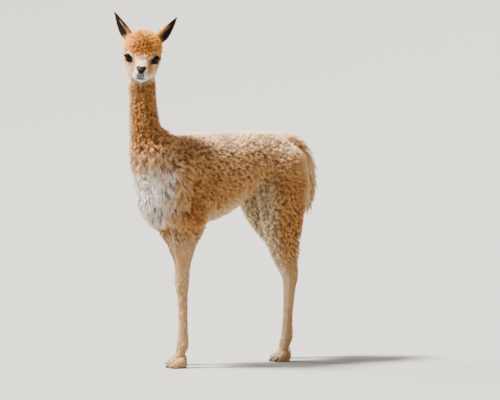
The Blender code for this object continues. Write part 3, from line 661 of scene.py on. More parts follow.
def relief(places, outs):
    """How far the skin stands in: a waist behind the lips and nose, and folds at the lids."""
    local = in_head(places)
    ways = outs @ HEAD_TURN
    _, y, z = local.T
    near = (from_eye(local) < 0.06).astype(float) * (z > -0.09)
    waist = ramp(np.abs(ways[:, 0]), 0.25, 0.80) * np.exp(-(((y + 0.066) / 0.015) ** 2))
    waist = waist * ramp(z, 0.012, -0.006) * ramp(z, -0.060, -0.045)
    lids = from_lids(local)
    fold = np.exp(-(((lids - 1.75) / 0.16) ** 2)) * ramp(from_eye(local), 0.030, 0.024)
    return -near * (0.0030 * waist + 0.0008 * fold)


def arrays(obj):
    """Points, point normals and triangles of a mesh."""
    mesh = obj.data
    mesh.calc_loop_triangles()
    points = np.empty(len(mesh.vertices) * 3)
    mesh.vertices.foreach_get("co", points)
    normals = np.empty(len(mesh.vertices) * 3)
    mesh.vertex_normals.foreach_get("vector", normals)
    corners = np.empty(len(mesh.loop_triangles) * 3, dtype=np.int32)
    mesh.loop_triangles.foreach_get("vertices", corners)
    return points.reshape(-1, 3), normals.reshape(-1, 3), corners.reshape(-1, 3)


def linear(colour):
    """A colour as it looks on a screen, from 0 to 255, as linear light."""
    share = np.array(colour, float) / 255
    return np.where(share <= 0.04045, share / 12.92, ((share + 0.055) / 1.055) ** 2.4)


# Colours of the coat and of the bare skin, from 0 to 255 as on a screen.
FAWN, CREAM, WHITE = linear((208, 152, 88)), linear((230, 204, 166)), linear((236, 229, 222))
# The pale top colour on the next line is the fawn with painted sunlight on it, for faces turned
# up.
SUNLIT_TOP, NECK_BROWN, RUST = linear((254, 222, 180)), linear((184, 124, 66)), linear((170, 108, 46))
CROWN_TAN, EAR_DARK, SHANK = linear((230, 154, 68)), linear((46, 27, 13)), linear((196, 157, 114))
LIP_GREY, OPENING_SHADE, LID_DARK = linear((92, 88, 98)), linear((8, 6, 5)), linear((10, 6, 4))
PEACH, SHADE_BROWN = linear((212, 160, 116)), linear((146, 102, 68))
SHADED_MAUVE, NOSE_PAD = linear((196, 164, 134)), linear((24, 17, 15))
PUPIL, IRIS, EYE_RIM = linear((6, 4, 3)), linear((24, 14, 8)), linear((10, 7, 5))
HORN_DARK, HORN_PALE = linear((46, 40, 36)), linear((92, 82, 72))


def in_head(points):
    """The points in the head's own frame."""
    return points @ HEAD_BACK[:3, :3].T + HEAD_BACK[:3, 3]


def dots(a, b):
    return (a * b).sum(axis=1)


def unit(ways):
    return ways / np.maximum(np.linalg.norm(ways, axis=1), 1e-6)[:, None]


def laid(ways, outs):
    """The ways made to run along the skin, one unit long."""
    return unit(ways - outs * dots(ways, outs)[:, None])


def to_eye(local):
    """The way from the nearer eye's middle, with both sides laid over the left one."""
    return np.stack([np.abs(local[:, 0]), local[:, 1], local[:, 2]], 1) - np.array(EYE_AT)


def from_eye(local):
    """Distance from the nearer eye's middle."""
    return np.linalg.norm(to_eye(local), axis=1)


def from_lids(local):
    """How far out of the eye's opening a point is: 1 at its edge, 2 at twice its height."""
    along, up, out = (to_eye(local) @ np.array(eye_turn(1).to_3x3())).T
    return np.where(out > 0, np.abs(up) / EYE_OPENING[1] + (along / EYE_OPENING[0]) ** 2, 9.0)


def wave(points, size, shift=0.0):
    """A smooth wandering value from -1 to 1 that changes over about the given size."""
    x, y, z = (points * (2 * math.pi / size) + shift).T
    waves = np.sin(x + 1.7 * np.sin(0.6 * y + 1.3)) + np.sin(1.1 * y + 1.4 * np.sin(0.7 * z))
    return (waves + np.sin(0.9 * z + 1.2 * np.sin(0.8 * x + 0.5))) / 3


def from_tail(points):
    """How many times the tail's own half width away from its middle line a point is."""
    nearest = np.full(len(points), 9.0)
    rows = np.array(TAIL)
    for step in np.linspace(0, len(rows) - 1, 36):
        y, z, wide, _ = (np.interp(step, np.arange(len(rows)), column) for column in rows.T)
        away = np.linalg.norm(points - np.array((0, y, z)), axis=1)
        nearest = np.minimum(nearest, away / (wide + TAIL_COAT * SKIN_SHARE))
    return nearest


def parts_of(points, normals):
    """How far each point belongs to each part, from 0 to 1."""
    y, z = points[:, 1], points[:, 2]
    head = ramp(above_cut(HEAD_CUT, points), -0.010, 0.010)
    uneven = 0.012 * wave(points, 0.055)
    neck = ramp(above_cut(NECK_CUT, points) + uneven, -0.045, 0.045) * (1 - head) * (y < -0.1)
    tail = ramp(above_cut(TAIL_CUT, points), -0.006, 0.010) * (y > 0.30) * (z > 0.45)
    tail = tail * ramp(from_tail(points), 1.45, 1.25)
    fore = (y < 0.05) * (1 - head) * (1 - neck)
    low = z + uneven
    shank = np.where(y < 0.05, ramp(low, 0.485, 0.385), ramp(low, 0.395, 0.290)) * (1 - tail)
    thigh = (y > 0.05) * ramp(z, 0.620, 0.520) * (1 - shank) * (1 - tail)
    bib = ramp(-normals[:, 1], 0.05, 0.45) * ramp(z, 0.450, 0.500) * fore * (1 - shank)
    bib = bib * ramp(y, -0.10, -0.17)
    return dict(head=head, neck=neck, tail=tail, shank=shank, thigh=thigh, bib=bib)


def mix(base, colour, share):
    return base + (colour - base) * share[:, None]


def layered(made, *layers):
    """Lays colours one over the other, each by its share at each point."""
    for colour, share in layers:
        made = mix(made, colour, share)
    return made


def markings(points, normals, parts):
    """The colour of the coat at each point."""
    x, y, z = points.T
    neck, tail, shank = parts["neck"], parts["tail"], parts["shank"]
    # Faces that turn up, and the upper flank, take the painted sunlit top.
    above = ramp(normals[:, 2] + 0.12 * wave(points, 0.11, 2.0), 0.10, 0.85)
    above = np.maximum(0.92 * above, 0.40 * ramp(z + 0.02 * wave(points, 0.09), 0.600, 0.735))
    belly = ramp(-normals[:, 2], 0.25, 0.75) * (z < 0.62)
    nape = neck * ramp(normals[:, 1], -0.1, 0.8)
    # Cream on the neck's front, turned to the side the key light falls on: partly a paler throat,
    # partly a painted highlight.
    lit_throat = neck * ramp(-normals @ (0.42, 0.91, 0), 0.86, 1.0)
    ragged = 0.015 * wave(points, 0.05)
    breast = ramp(y + ragged, -0.170, -0.255) * ramp(z + ragged, 0.755, 0.625) * (z > 0.4)
    pale = ramp(y + ragged, -0.205, -0.290) * ramp(z + ragged, 0.700, 0.610)
    elbow = ramp(np.hypot((y + 0.170) / 0.034, (z - 0.515) / 0.060), 1.2, 0.4)
    inner = ramp(-normals[:, 0] * np.sign(x), -0.1, 0.6)
    fore_edge = (y > 0.05) * ramp(-normals[:, 1], 0.2, 0.75) * ramp(z, 0.640, 0.560)
    rear = (y > 0.05) * ramp(normals[:, 1], -0.3, 0.4) * ramp(z, 0.28, 0.42) * (z < 0.62)
    return layered(
        FAWN,
        (SUNLIT_TOP, above * (0.25 + 0.75 * ramp(y, -0.22, -0.02))),
        (RUST, 0.35 * ramp(wave(points, 0.16), 0.2, 0.9)),
        (CREAM, belly * 0.6),
        (NECK_BROWN, neck * 0.9 - nape * 0.5),
        (CREAM, lit_throat * 0.7),
        # Grey-mauve over the chest above the white bib: partly the blend from neck brown to white,
        # partly painted shade on the white.
        (mix(SHADED_MAUVE, WHITE, pale), breast),
        (RUST, elbow * (np.abs(x) > 0.05) * 0.75),
        (SHANK, shank),
        (CREAM, np.maximum(shank, parts["thigh"]) * inner * 0.8),
        (CREAM, fore_edge * 0.9),
        (NECK_BROWN, rear * (1 - inner) * 0.5),
        # The tail's root takes the painted sunlit top too, fading to fawn down the tail.
        (mix(SUNLIT_TOP, FAWN, ramp(above_cut(TAIL_CUT, points), 0.0, 0.10)), 0.7 * tail),
        (CREAM, tail * ramp(-normals[:, 1], 0.1, 0.7)),
        (face_colour(in_head(points)), parts["head"]),
    )


def face_colour(local):
    """The colour of the face's fur, in the head's own frame."""
    x, y, z = local.T
    side = np.abs(x)
    cheek = ramp(z, -0.062, -0.030) * ramp(side, 0.014, 0.026)
    behind = ramp(y, -0.030, 0.010) * ramp(z, -0.055, -0.020)
    muzzle_side_shade = np.exp(-(((side - 0.027) / 0.0085) ** 2)) * ramp(z, -0.054, -0.030)
    broad = 0.0095 + 0.10 * np.maximum(-z, 0) + 0.0016 * np.sin(z * 900)
    lit_blaze = ramp(side, broad + 0.004, broad - 0.003) * ramp(z, 0.022, 0.010)
    brow = np.linalg.norm(np.stack([side - 0.050, y + 0.018, z - 0.022], 1), axis=1)
    shade = np.hypot((side - 0.026) / 0.011, (z + 0.004) / 0.017)
    beard = np.maximum(ramp(y, -0.060, -0.085), ramp(z, -0.050, -0.066))
    corner = np.hypot((side - 0.0355) / 0.0085, (z + 0.003) / 0.0095)
    return layered(
        CREAM,
        (PEACH, cheek * 0.9),
        ((CROWN_TAN + 2 * PEACH) / 3, behind),
        (CROWN_TAN, np.maximum(crown_share(local), ramp(y, 0.022, 0.050))),
        # Painted shade down the sides of the muzzle, setting it off from the cheeks.
        (SHADE_BROWN, muzzle_side_shade * ramp(z, 0.016, 0.0) * 0.75 * (y < -0.02)),
        # The blaze down the nose bridge: a paler stripe, brightened further as a painted
        # highlight.
        (CREAM * 1.2, lit_blaze * ramp(y, -0.040, -0.056) * 0.9),
        (CREAM, ramp(brow, 0.014, 0.006) * 0.8),
        (SHADE_BROWN, ramp(shade, 1.1, 0.3) * (y < -0.03) * 0.75),
        (WHITE, beard * ramp(z, -0.026, -0.042) * ramp(y, 0.005, -0.020)),
        (LID_DARK, ramp(corner, 1.2, 0.75) * (y < -0.02)),
        (LID_DARK, 0.9 * ramp(from_lids(local), 1.65, 1.30)),
    )


def crown_share(local):
    """Where the crown's wool grows, down to the fringe over the brow, in the head's own frame."""
    x, y, z = local.T
    low = 0.012 + 0.30 * np.maximum(np.abs(x) - 0.012, 0) + 0.0025 * np.sin(x * 260)
    return ramp(z - low, -0.004, 0.006) * ramp(y, -0.078, -0.062)


def bare_skin(local):
    """Share of bare skin and its colour: nose pad, nostrils, lips, mouth and the lids' rims."""
    x, y, z = local.T
    side = np.abs(x)
    front = ramp(y, -0.088, -0.096)
    down = np.clip((-0.0060 - z) / 0.0185, 0, 1)
    broad = 0.0158 * (1 - 0.52 * down**1.8) + 0.0005 * np.sin(z * 1100 + x * 300)
    top = -0.0052 - 0.0007 * np.cos(side / 0.0040)
    pad = ramp(side, broad + 0.0015, broad - 0.0012) * ramp(z, top + 0.0012, top - 0.0012)
    pad = pad * ramp(z, -0.0270, -0.0235) * front
    lean = math.radians(28)
    out, over = side - 0.0098, z + 0.0138
    long = out * math.cos(lean) + over * math.sin(lean)
    wide = over * math.cos(lean) - out * math.sin(lean)
    nostril = ramp(np.hypot(long / 0.0078, wide / 0.0046), 1.15, 0.75) * front
    lips = ramp(np.hypot(side / 0.0128, (z + 0.0330) / 0.0145), 1.10, 0.88)
    lips = lips * ramp(y, -0.086, -0.096)
    rim = ramp(from_lids(local), 1.30, 1.16) * (from_eye(local) < EYE_R + LID + 0.0020)
    angle = np.degrees(np.arctan2(side, MOUTH_FROM[1] - y))
    mouth = ramp(np.abs(z - mouth_height(angle)), 0.0032, 0.0014) * ramp(angle, 38, 22)
    mouth = mouth * (y < MOUTH_FROM[1])
    holes = np.clip(3 * np.maximum(nostril, mouth), 0, 1)
    split = ramp(side, 0.0012, 0.0004) * ramp(z, -0.046, -0.040)
    return np.maximum.reduce([pad, lips, rim, holes]), layered(
        LIP_GREY,
        # A paler middle of the lips: painted highlight.
        (LIP_GREY * 1.4, ramp(side, 0.009, 0.003)),
        # Painted shade: the lip's split takes the pad's dark colour, and the nostrils and the
        # mouth line go near black.
        (NOSE_PAD, np.maximum(pad, 0.6 * split)),
        (OPENING_SHADE, np.maximum(nostril, 0.75 * mouth)),
        (LID_DARK, rim),
    )


def lie_of(points, outs, parts):
    """The way that the coat lies along the skin at each point."""
    way = np.tile((0.0, 0.72, -0.62), (len(points), 1))
    turn = 0.45 * wave(points, 0.13, 0.8)
    way[:, 0] += turn * 0.5
    way[:, 2] += turn * 0.4
    for part in ("neck", "shank", "thigh", "bib", "tail"):
        way = mix(way, (0.0, 0.10, -1.0), parts[part])
    local = in_head(points)
    x, y, z = local.T
    flat = np.stack([x * 4, 1 + 0 * x, -0.2 + 0 * x], 1)
    wool = np.stack([x * 14, (y + 0.012) * 30, -0.5 + 0 * x], 1)
    way_on_head = mix(flat, wool, crown_share(local))
    round_eye = np.stack([x - np.sign(x) * EYE_AT[0], y - EYE_AT[1], z - EYE_AT[2]], 1)
    way_on_head = mix(unit(way_on_head), unit(round_eye), ramp(from_lids(local), 3.4, 2.0))
    return laid(mix(way, way_on_head @ HEAD_TURN.T, parts["head"]), outs)


# How the coat grows: spacing, length, height over the skin, half width, pull to the clump's
# middle, turn of each clump in radians, and curl as a share of the length. The rest of the rows
# are laid over the trunk's in this order.
TRUNK_WOOL = (0.00265, 0.0215, 0.0184, 0.00080, 0.55, 0.52, 0.14)
COAT = {
    "neck": (0.0021, 0.0135, 0.0096, 0.00066, 0.45, 0.45, 0.17),
    "thigh": (0.00275, 0.0170, 0.0120, 0.00080, 0.55, 0.48, 0.14),
    "shank": (0.0030, 0.0110, 0.0030, 0.0008, 0.25, 0.12, 0.04),
    "foot": (0.0022, 0.0085, 0.0024, 0.0006, 0.12, 0.10, 0.03),
    "bib": (0.0027, 0.0430, 0.0215, 0.00080, 0.85, 0.24, 0.06),
    "tail": (0.0030, 0.0520, 0.0125, 0.0011, 0.45, 0.14, 0.06),
    "face": (0.0017, 0.0050, 0.0014, 0.0005, 0.10, 0.06, 0.03),
    "crown": (0.0020, 0.0130, 0.0106, 0.0006, 0.32, 0.42, 0.09),
    "fringe": (0.0020, 0.0140, 0.0065, 0.0006, 0.30, 0.35, 0.08),
}


def coat_sizes(points, parts):
    """The seven measures of the coat at each point."""
    local = in_head(points)
    crown = np.maximum(crown_share(local), ramp(local[:, 1], 0.000, 0.025)) * parts["head"]
    fringe = crown * ramp(local[:, 2], 0.034, 0.018) * ramp(local[:, 1], -0.030, -0.050)
    foot = ramp(points[:, 2], 0.075, 0.045)
    shares = dict(parts, foot=foot, crown=crown, face=parts["head"] * (1 - crown), fringe=fringe)
    made = layered(np.array(TRUNK_WOOL), *[(row, shares[part]) for part, row in COAT.items()])
    parting = crown * np.exp(-(((local[:, 1] + 0.012) / 0.014) ** 2))
    made[:, 0] *= 1 - 0.32 * parting
    made[:, 2] *= 1 + 0.15 * parting
    jaw = crown * ramp(local[:, 2], -0.012, -0.045)
    made[:, 1] *= 1 - 0.35 * jaw
    made[:, 2] *= 1 - 0.50 * jaw
    near_eye = ramp(from_lids(local), 3.2, 1.4) * parts["head"]
    made[:, 1] *= 1 - 0.55 * near_eye
    made[:, 2] *= 1 - 0.45 * near_eye
    return made.T


# How bright a tuft is along its length, with painted shade at the root and painted light at the
# tip,
# and the rings of a tuft by their number: where along it they are, up to the tip, and how wide.
SHADE_AT, ROOT_SHADE_TO_TIP_LIGHT = (0, 0.38, 0.78, 1), (0.42, 0.80, 1.05, 1.12)
TUFT_RINGS = {2: ((0, 0.6, 1), (0.8, 1, 0)), 3: ((0, 0.38, 0.78, 1), (0.8, 1, 0.75, 0))}
# Each tuft's half width and length on the bake map, and the most triangles in one piece.
PATCH, PIECE_TRIANGLES = (0.0012, 0.003), 198000


def tuft_faces(rings):
    """The triangles of a closed tuft: three corners on each ring, and then its tip."""
    made = [(0, 1, 2)]
    for k in range(0, 3 * (rings - 1), 3):
        for s in range(3):
            a, b, c, d = k + s, k + (s + 1) % 3, k + 3 + (s + 1) % 3, k + 3 + s
            made += [(a, c, b), (a, d, c)]
    last, tip = 3 * (rings - 1), 3 * rings
    made += [(last + s, tip, last + (s + 1) % 3) for s in range(3)]
    return np.array(made)


def tufts(name, look, roots, normals, lies, sizes, colours, rings):
    """Closed tapered tufts that bend over along their lie, in pieces under the size limit."""
    count = len(roots)
    length, height, half, curl, phase, pull, pulled = sizes
    run = np.sqrt(np.maximum(length**2 - height**2, (0.3 * length) ** 2))
    across = unit(np.cross(normals, lies))
    turn = rng.normal(0, 0.6, count)
    flat = across * np.cos(turn)[:, None] + normals * np.sin(turn)[:, None]
    up = np.cross(lies, flat)
    sunk = np.minimum(0.0014, 0.55 * height)
    bow = curl * rng.normal(1, 0.35, count)
    phase = phase + rng.normal(0, 0.5, count)
    shares, widths = TUFT_RINGS[rings]
    rows = []
    for share, wide in zip(shares, widths):
        rise = height * (1 - (1 - share) ** 1.9) - sunk * (1 - share)
        rise = rise + 0.4 * bow * (np.cos(phase + 4.2 * share) - np.cos(phase)) * share
        aside = bow * (np.sin(phase + 4.2 * share) - np.sin(phase)) * share**0.7
        middle = roots + normals * rise[:, None] + lies * (run * share**1.15)[:, None]
        middle = middle + across * aside[:, None] + pulled * (pull * share**1.4)[:, None]
        reach = (half * wide)[:, None]
        corners = (middle + flat * reach, middle + up * reach * 0.6, middle - flat * reach)
        rows.append(np.stack(corners if wide else [middle], 1))
    points = np.concatenate(rows, axis=1)
    points[:, :, 2] = np.maximum(points[:, :, 2], SOLE)
    along = np.repeat(shares, [3] * rings + [1])
    aside = np.array([1.0, 0.0, -1.0] * rings + [0.0])
    # Painted shade darkens each tuft toward its root, and painted light brightens its tip.
    tints = colours[:, None, :] * np.interp(along, SHADE_AT, ROOT_SHADE_TO_TIP_LIGHT)[None, :, None]
    patches = np.stack([aside * PATCH[0], along * PATCH[1]], 1)
    spots = patch_places(roots)[:, None, :] + patches[None]
    faces = tuft_faces(rings)
    limit = PIECE_TRIANGLES // len(faces)
    made = []
    for k, start in enumerate(range(0, count, limit)):
        part = [each[start : start + limit] for each in (points, tints, spots)]
        starts = np.arange(len(part[0])) * points.shape[1]
        corners = (faces[None] + starts[:, None, None]).reshape(-1, 3)
        title = "%s_%d" % (name, k + 1) if count > limit else name
        flat_arrays = [each.reshape(-1, each.shape[2]) for each in part]
        made.append(solid(title, look, corners, *flat_arrays))
    return made


def solid(name, look, corners, points, tints, spots):
    """A mesh object from arrays, with its colours and its bake map."""
    mesh = bpy.data.meshes.new(name)
    mesh.vertices.add(len(points))
    mesh.vertices.foreach_set("co", (points - SHIFT).ravel())
    mesh.loops.add(corners.size)
    mesh.loops.foreach_set("vertex_index", corners.ravel())
    mesh.polygons.add(len(corners))
    mesh.polygons.foreach_set("loop_start", np.arange(0, corners.size, 3))
    mesh.polygons.foreach_set("use_smooth", np.ones(len(corners), bool))
    mesh.update(calc_edges=True)
    painted(mesh, tints)
    layer = mesh.uv_layers.new(name="OFBake")
    layer.uv.foreach_set("vector", spots[corners.ravel()].ravel())
    mesh.materials.append(look)
    return linked(name, mesh)


def painted(mesh, tints):
    colour = mesh.color_attributes.new("coat_colour", "FLOAT_COLOR", "POINT")
    full = np.ones((len(tints), 4))
    full[:, :3] = tints
    colour.data.foreach_set("color", full.ravel())


def scattered(points, normals, corners, spacing):
    """Random roots over the triangles, as close as the spacing at each corner asks."""
    a, b, c = (points[corners[:, i]] for i in range(3))
    areas = np.linalg.norm(np.cross(b - a, c - a), axis=1) / 2
    wanted = areas / spacing[corners].mean(axis=1) ** 2
    count = int(wanted.sum())
    picked = corners[rng.choice(len(corners), count, p=wanted / wanted.sum())]
    shares = rng.dirichlet((1, 1, 1), count)[:, :, None]
    at, out = ((values[picked] * shares).sum(axis=1) for values in (points, normals))
    return at, unit(out)


def clumps(roots, normals, spacing):
    """The way from each root to the middle of its clump, how near the clump's edge it is, and
    three random numbers that a whole clump shares."""
    count = max(2, int(len(roots) / 9))
    chosen = rng.choice(len(roots), count, replace=False)
    tree = KDTree(count)
    for i, place in enumerate(roots[chosen]):
        tree.insert(place, i)
    tree.balance()
    nearest = np.array([tree.find(place)[1] for place in roots])
    to = roots[chosen][nearest] - roots
    to -= normals * dots(to, normals)[:, None]
    far = np.linalg.norm(to, axis=1)
    edge = np.clip(far / (1.9 * spacing), 0, 1.3)
    limit = np.minimum(1, 3.5 * spacing / np.maximum(far, 1e-6))
    return to * limit[:, None], edge, rng.normal(0, 1, (3, count))[:, nearest]


def unwrapped(obj):
    """A coarse copy of the skin, unwrapped, to find the bake map's place of each root."""
    coarse = linked("unwrap", obj.data.copy())
    thin = coarse.modifiers.new("thin", "DECIMATE")
    thin.ratio = UNWRAP_FACES / len(obj.data.polygons)
    triangulated(baked(coarse))
    bpy.context.view_layer.objects.active = coarse
    coarse.select_set(True)
    bpy.ops.object.mode_set(mode="EDIT")
    bpy.ops.mesh.select_all(action="SELECT")
    bpy.ops.uv.smart_project(angle_limit=math.radians(66), island_margin=0.004)
    bpy.ops.object.mode_set(mode="OBJECT")
    places, _, _ = arrays(coarse)
    mesh = coarse.data
    corners = np.empty(len(mesh.polygons) * 3, dtype=np.int32)
    mesh.loops.foreach_get("vertex_index", corners)
    corners = corners.reshape(-1, 3)
    flat = np.empty(len(mesh.loops) * 2)
    mesh.uv_layers.active.uv.foreach_get("vector", flat)
    tree = BVHTree.FromPolygons(places.tolist(), corners.tolist())
    bpy.data.objects.remove(coarse)
    return tree, places, corners, flat.reshape(-1, 3, 2)


def patch_places(roots):
    """Where each root lies on the skin's unwrap."""
    tree, places, corners, flat = unwrap
    found = [tree.find_nearest(root) for root in roots]
    faces = np.array([hit[2] for hit in found])
    near = np.array([hit[0] for hit in found])
    a, b, c = (places[corners[faces, i]] for i in range(3))
    ab, ac, ap = b - a, c - a, near - a
    scale = dots(ab, ab) * dots(ac, ac) - dots(ab, ac) ** 2
    v = (dots(ac, ac) * dots(ap, ab) - dots(ab, ac) * dots(ap, ac)) / scale
    w = (dots(ab, ab) * dots(ap, ac) - dots(ab, ac) * dots(ap, ab)) / scale
    shares = np.clip(np.stack([1 - v - w, v, w], 1), 0, 1)
    return (flat[faces] * shares[:, :, None]).sum(axis=1)


def shader_of(name, roughness, specular):
    look = bpy.data.materials.new(name)
    look.use_nodes = True
    shader = look.node_tree.nodes["Principled BSDF"]
    shader.inputs["Roughness"].default_value = roughness
    shader.inputs["Specular IOR Level"].default_value = specular
    return look, shader


def node(look, kind, **inputs):
    made = look.node_tree.nodes.new(kind)
    for key, value in inputs.items():
        made.inputs[key].default_value = value
    return made


def coat_colour(look):
    """The colour painted on the points of the mesh."""
    colour = node(look, "ShaderNodeVertexColor")
    colour.layer_name = "coat_colour"
    return colour.outputs["Color"]


def varied(look, colour, noise, low, high, amount):
    """The colour made darker to lighter, by the amount, as the noise goes from low to high."""
    share = {"From Min": low, "From Max": high, "To Min": 1 - amount, "To Max": 1 + amount}
    scale = node(look, "ShaderNodeMapRange", **share)
    mixer = node(look, "ShaderNodeVectorMath")
    mixer.operation = "SCALE"
    links = look.node_tree.links
    links.new(noise.outputs["Fac"], scale.inputs["Value"])
    links.new(colour, mixer.inputs[0])
    links.new(scale.outputs["Result"], mixer.inputs["Scale"])
    return mixer.outputs["Vector"]


# How finely the streaks run across and along the bake map.
STREAK_SCALE = (2600, 420, 1)


def painted_look(name, roughness, specular, grain, strength, bump, sheen, streaks=0.0):
    """A surface that takes its painted colour, with fine uneven grain in colour and bump, and
    streaks along each tuft."""
    look, shader = shader_of(name, roughness, specular)
    links = look.node_tree.links
    place = node(look, "ShaderNodeTexCoord")
    noise = node(look, "ShaderNodeTexNoise", Scale=grain, Detail=4.0, Roughness=0.65)
    links.new(place.outputs["Object"], noise.inputs["Vector"])
    colour = varied(look, coat_colour(look), noise, 0.3, 0.7, strength)
    if streaks:
        spread = node(look, "ShaderNodeUVMap")
        spread.uv_map = "OFBake"
        stretch = node(look, "ShaderNodeMapping", Scale=STREAK_SCALE)
        lines = node(look, "ShaderNodeTexNoise", Scale=1.0, Detail=1.0)
        links.new(spread.outputs["UV"], stretch.inputs["Vector"])
        links.new(stretch.outputs["Vector"], lines.inputs["Vector"])
        colour = varied(look, colour, lines, 0.25, 0.75, streaks)
    links.new(colour, shader.inputs["Base Color"])
    if bump:
        rough = node(look, "ShaderNodeBump", Strength=bump, Distance=0.001)
        links.new(noise.outputs["Fac"], rough.inputs["Height"])
        links.new(rough.outputs["Normal"], shader.inputs["Normal"])
    shader.inputs["Sheen Weight"].default_value = sheen
    shader.inputs["Sheen Roughness"].default_value = 0.5
    return look


def eye_look():
    look, shader = shader_of("wet_eye", 0.07, 0.07)
    look.node_tree.links.new(coat_colour(look), shader.inputs["Base Color"])
    return look


def placed(obj):
    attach(obj, "root")


# The part's frame has its origin under the middle of the whole animal; the left eye, whose place
# is known in both frames, says how far that is from this script's own origin.
eye_low, eye_high = (np.array(corner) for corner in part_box("eye_left"))
SHIFT = np.array(HEAD_PLACE @ Vector(EYE_AT)) - (eye_low + eye_high) / 2
SHIFT[2] = 0.0

rng = np.random.default_rng(7)
fleece_look = painted_look("fleece", 0.92, 0.10, 160, 0.14, 0.0, 0.06, 0.22)
skin_look = painted_look("skin_under_fur", 0.85, 0.08, 420, 0.22, 0.5, 0.0)
bare_look = painted_look("bare_skin", 0.50, 0.12, 900, 0.12, 0.6, 0.0)
wet_look = eye_look()
lash_look = painted_look("lashes", 0.7, 0.05, 400, 0.05, 0.0, 0.0)
horn_look = painted_look("horn", 0.45, 0.5, 700, 0.25, 0.35, 0.0)

# No tufts grow below this height, nearer to the eye's middle than this, or where more than this
# share of the skin is bare.
TUFTS_FROM, EYE_CLEAR, BARE = 0.004, EYE_R + 0.0010, 0.85
THINNED = 1.0

# The skin, in the coat's colours, made darker where the wool covers it: painted shade deep in the
# coat.
skin = make_skin()
points, normals, corners = arrays(skin)
unwrap = unwrapped(skin)
parts = parts_of(points, normals)
on_head = parts["head"] > 0.5
local = in_head(points)
bare, bare_colour = bare_skin(local)
bare = bare * parts["head"]
woolled = np.maximum(crown_share(local + (0, 0, 0.004)), ramp(local[:, 1], 0.005, 0.030))
short = np.maximum(parts["head"] * (1 - woolled), parts["shank"])
tints = markings(points, normals, parts)
# Painted shade under the coat: the skin is darkest under the wool, less so under short fur.
tints = mix(mix(tints * 0.32, tints * 0.85, short), bare_colour, bare)

# The tufts' roots.
hidden = (points[:, 2] < TUFTS_FROM) | ((bare > 0.99) & on_head)
hidden |= (from_eye(local) < EYE_CLEAR) & on_head
spacing = np.where(hidden, 1.0, coat_sizes(points, parts)[0]) * THINNED
roots, outs = scattered(points, normals, corners, spacing)
local = in_head(roots)
on_head = parts_of(roots, outs)["head"] > 0.5
far = (from_lids(local) > 1.2) & (from_eye(local) > EYE_CLEAR) & (bare_skin(local)[0] <= BARE)
kept = (far | ~on_head) & (roots[:, 2] > TUFTS_FROM)
roots, outs = roots[kept], outs[kept]
count = len(roots)

# How each tuft lies, and its sizes. Tufts that would reach over bare skin stay short.
parts = parts_of(roots, outs)
close, length, height, half, pull, tousle, curl = coat_sizes(roots, parts)
lies = lie_of(roots, outs, parts)
pulled, edge, (clump_light, clump_turn, phase) = clumps(roots, outs, close)
turn = (tousle * clump_turn + rng.normal(0, 0.12, count))[:, None]
lies = lies * np.cos(turn) + np.cross(outs, lies) * np.sin(turn)
over = np.zeros(count, bool)
for share in (0.5, 1.0):
    reached = in_head(roots + lies * (share * length)[:, None])
    over |= (bare_skin(reached)[0] * parts["head"]) > 0.5
length, height = np.where(over, 0.3 * length, length), np.where(over, 0.6 * height, height)

# Uneven light, lengths and heights, with painted shade in the gaps at the edges of the clumps, and
# a few stray hairs.
gap = np.clip(curl / 0.15, 0, 1) * (1 - 0.4 * parts["head"])
mottle = 0.10 + 0.07 * parts["neck"] + 0.12 * parts["bib"] - 0.04 * parts["head"]
light = 1 + mottle * clump_light + rng.normal(0, 0.08, count)
# Painted shade at the clumps' edges, in the gaps between them.
light = light * (1 + gap * (0.08 - 0.20 * edge**2))
colours = markings(roots, outs, parts) * light[:, None].clip(0.35, 1.5)
length = length * rng.uniform(0.75, 1.2, count)
height = height * (1 + 0.12 * clump_light + rng.normal(0, 0.07, count)).clip(0.55, 1.20)
height = height * (1 + gap * (0.04 - 0.14 * edge**2))
half = half * rng.uniform(0.8, 1.25, count)
stray = (rng.random(count) < 0.09) & (parts["shank"] < 0.5)
height, length = np.where(stray, height * 1.15, height), np.where(stray, length * 1.15, length)
half, pull = np.where(stray, half * 0.45, half), np.where(stray, 0, pull)

# The coat's pieces: each takes the tufts of its part, and the fleece takes all that are left.
left = np.ones(count, bool)
for name, part, least, slot, rings in (
    ("head_fur", "head", 0.5, "face_fur", 2),
    ("tail_hair", "tail", 0.5, "tail_hair", 3),
    ("leg_fur", "shank", 0.6, "leg_fur", 2),
    ("neck_wool", "neck", 0.5, "fleece", 2),
    ("fleece", None, 0, "fleece", 2),
):
    wanted = left & (parts[part] > least) if part else left
    left = left & ~wanted
    sizes = [length, height, half, length * curl, phase * 2, pull, pulled]
    sizes = [value[wanted] for value in sizes]
    place = roots[wanted], outs[wanted], lies[wanted]
    for piece in tufts(name, fleece_look, *place, sizes, colours[wanted], rings):
        placed(piece)

# The skin's colours and surfaces, and the solids that it stands for.
mesh = skin.data
mesh.transform(Matrix.Translation(Vector(-SHIFT)))
painted(mesh, tints)
mesh.materials.clear()
mesh.materials.append(skin_look)
mesh.materials.append(bare_look)
is_bare = [int(bare[polygon.vertices[0]] > 0.5) for polygon in mesh.polygons]
mesh.polygons.foreach_set("material_index", is_bare)
mesh.shade_smooth()
placed(skin)
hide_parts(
    "torso", "neck", "head", "tail",
    "foreleg_left", "foreleg_right", "hindleg_left", "hindleg_right",
)


def finished(obj, name, look, tints, node_name):
    """Paints a made piece, moves it into the part's frame and puts it in its solid's place."""
    obj.name = name
    obj.data.name = name
    obj.data.transform(Matrix.Translation(Vector(-SHIFT)))
    obj.data.materials.clear()
    obj.data.materials.append(look)
    painted(obj.data, tints)
    obj.data.shade_smooth()
    placed(obj)
    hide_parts(node_name)


# The ears' fur: spacing, height and half width, and its lengths at shares of the ear's length.
EAR_SPACING, EAR_HEIGHT, EAR_WIDTH = 0.0019, 0.0016, 0.0006
EAR_LENGTHS = (0, 0.9, 1.05), (0.010, 0.006, 0.003)


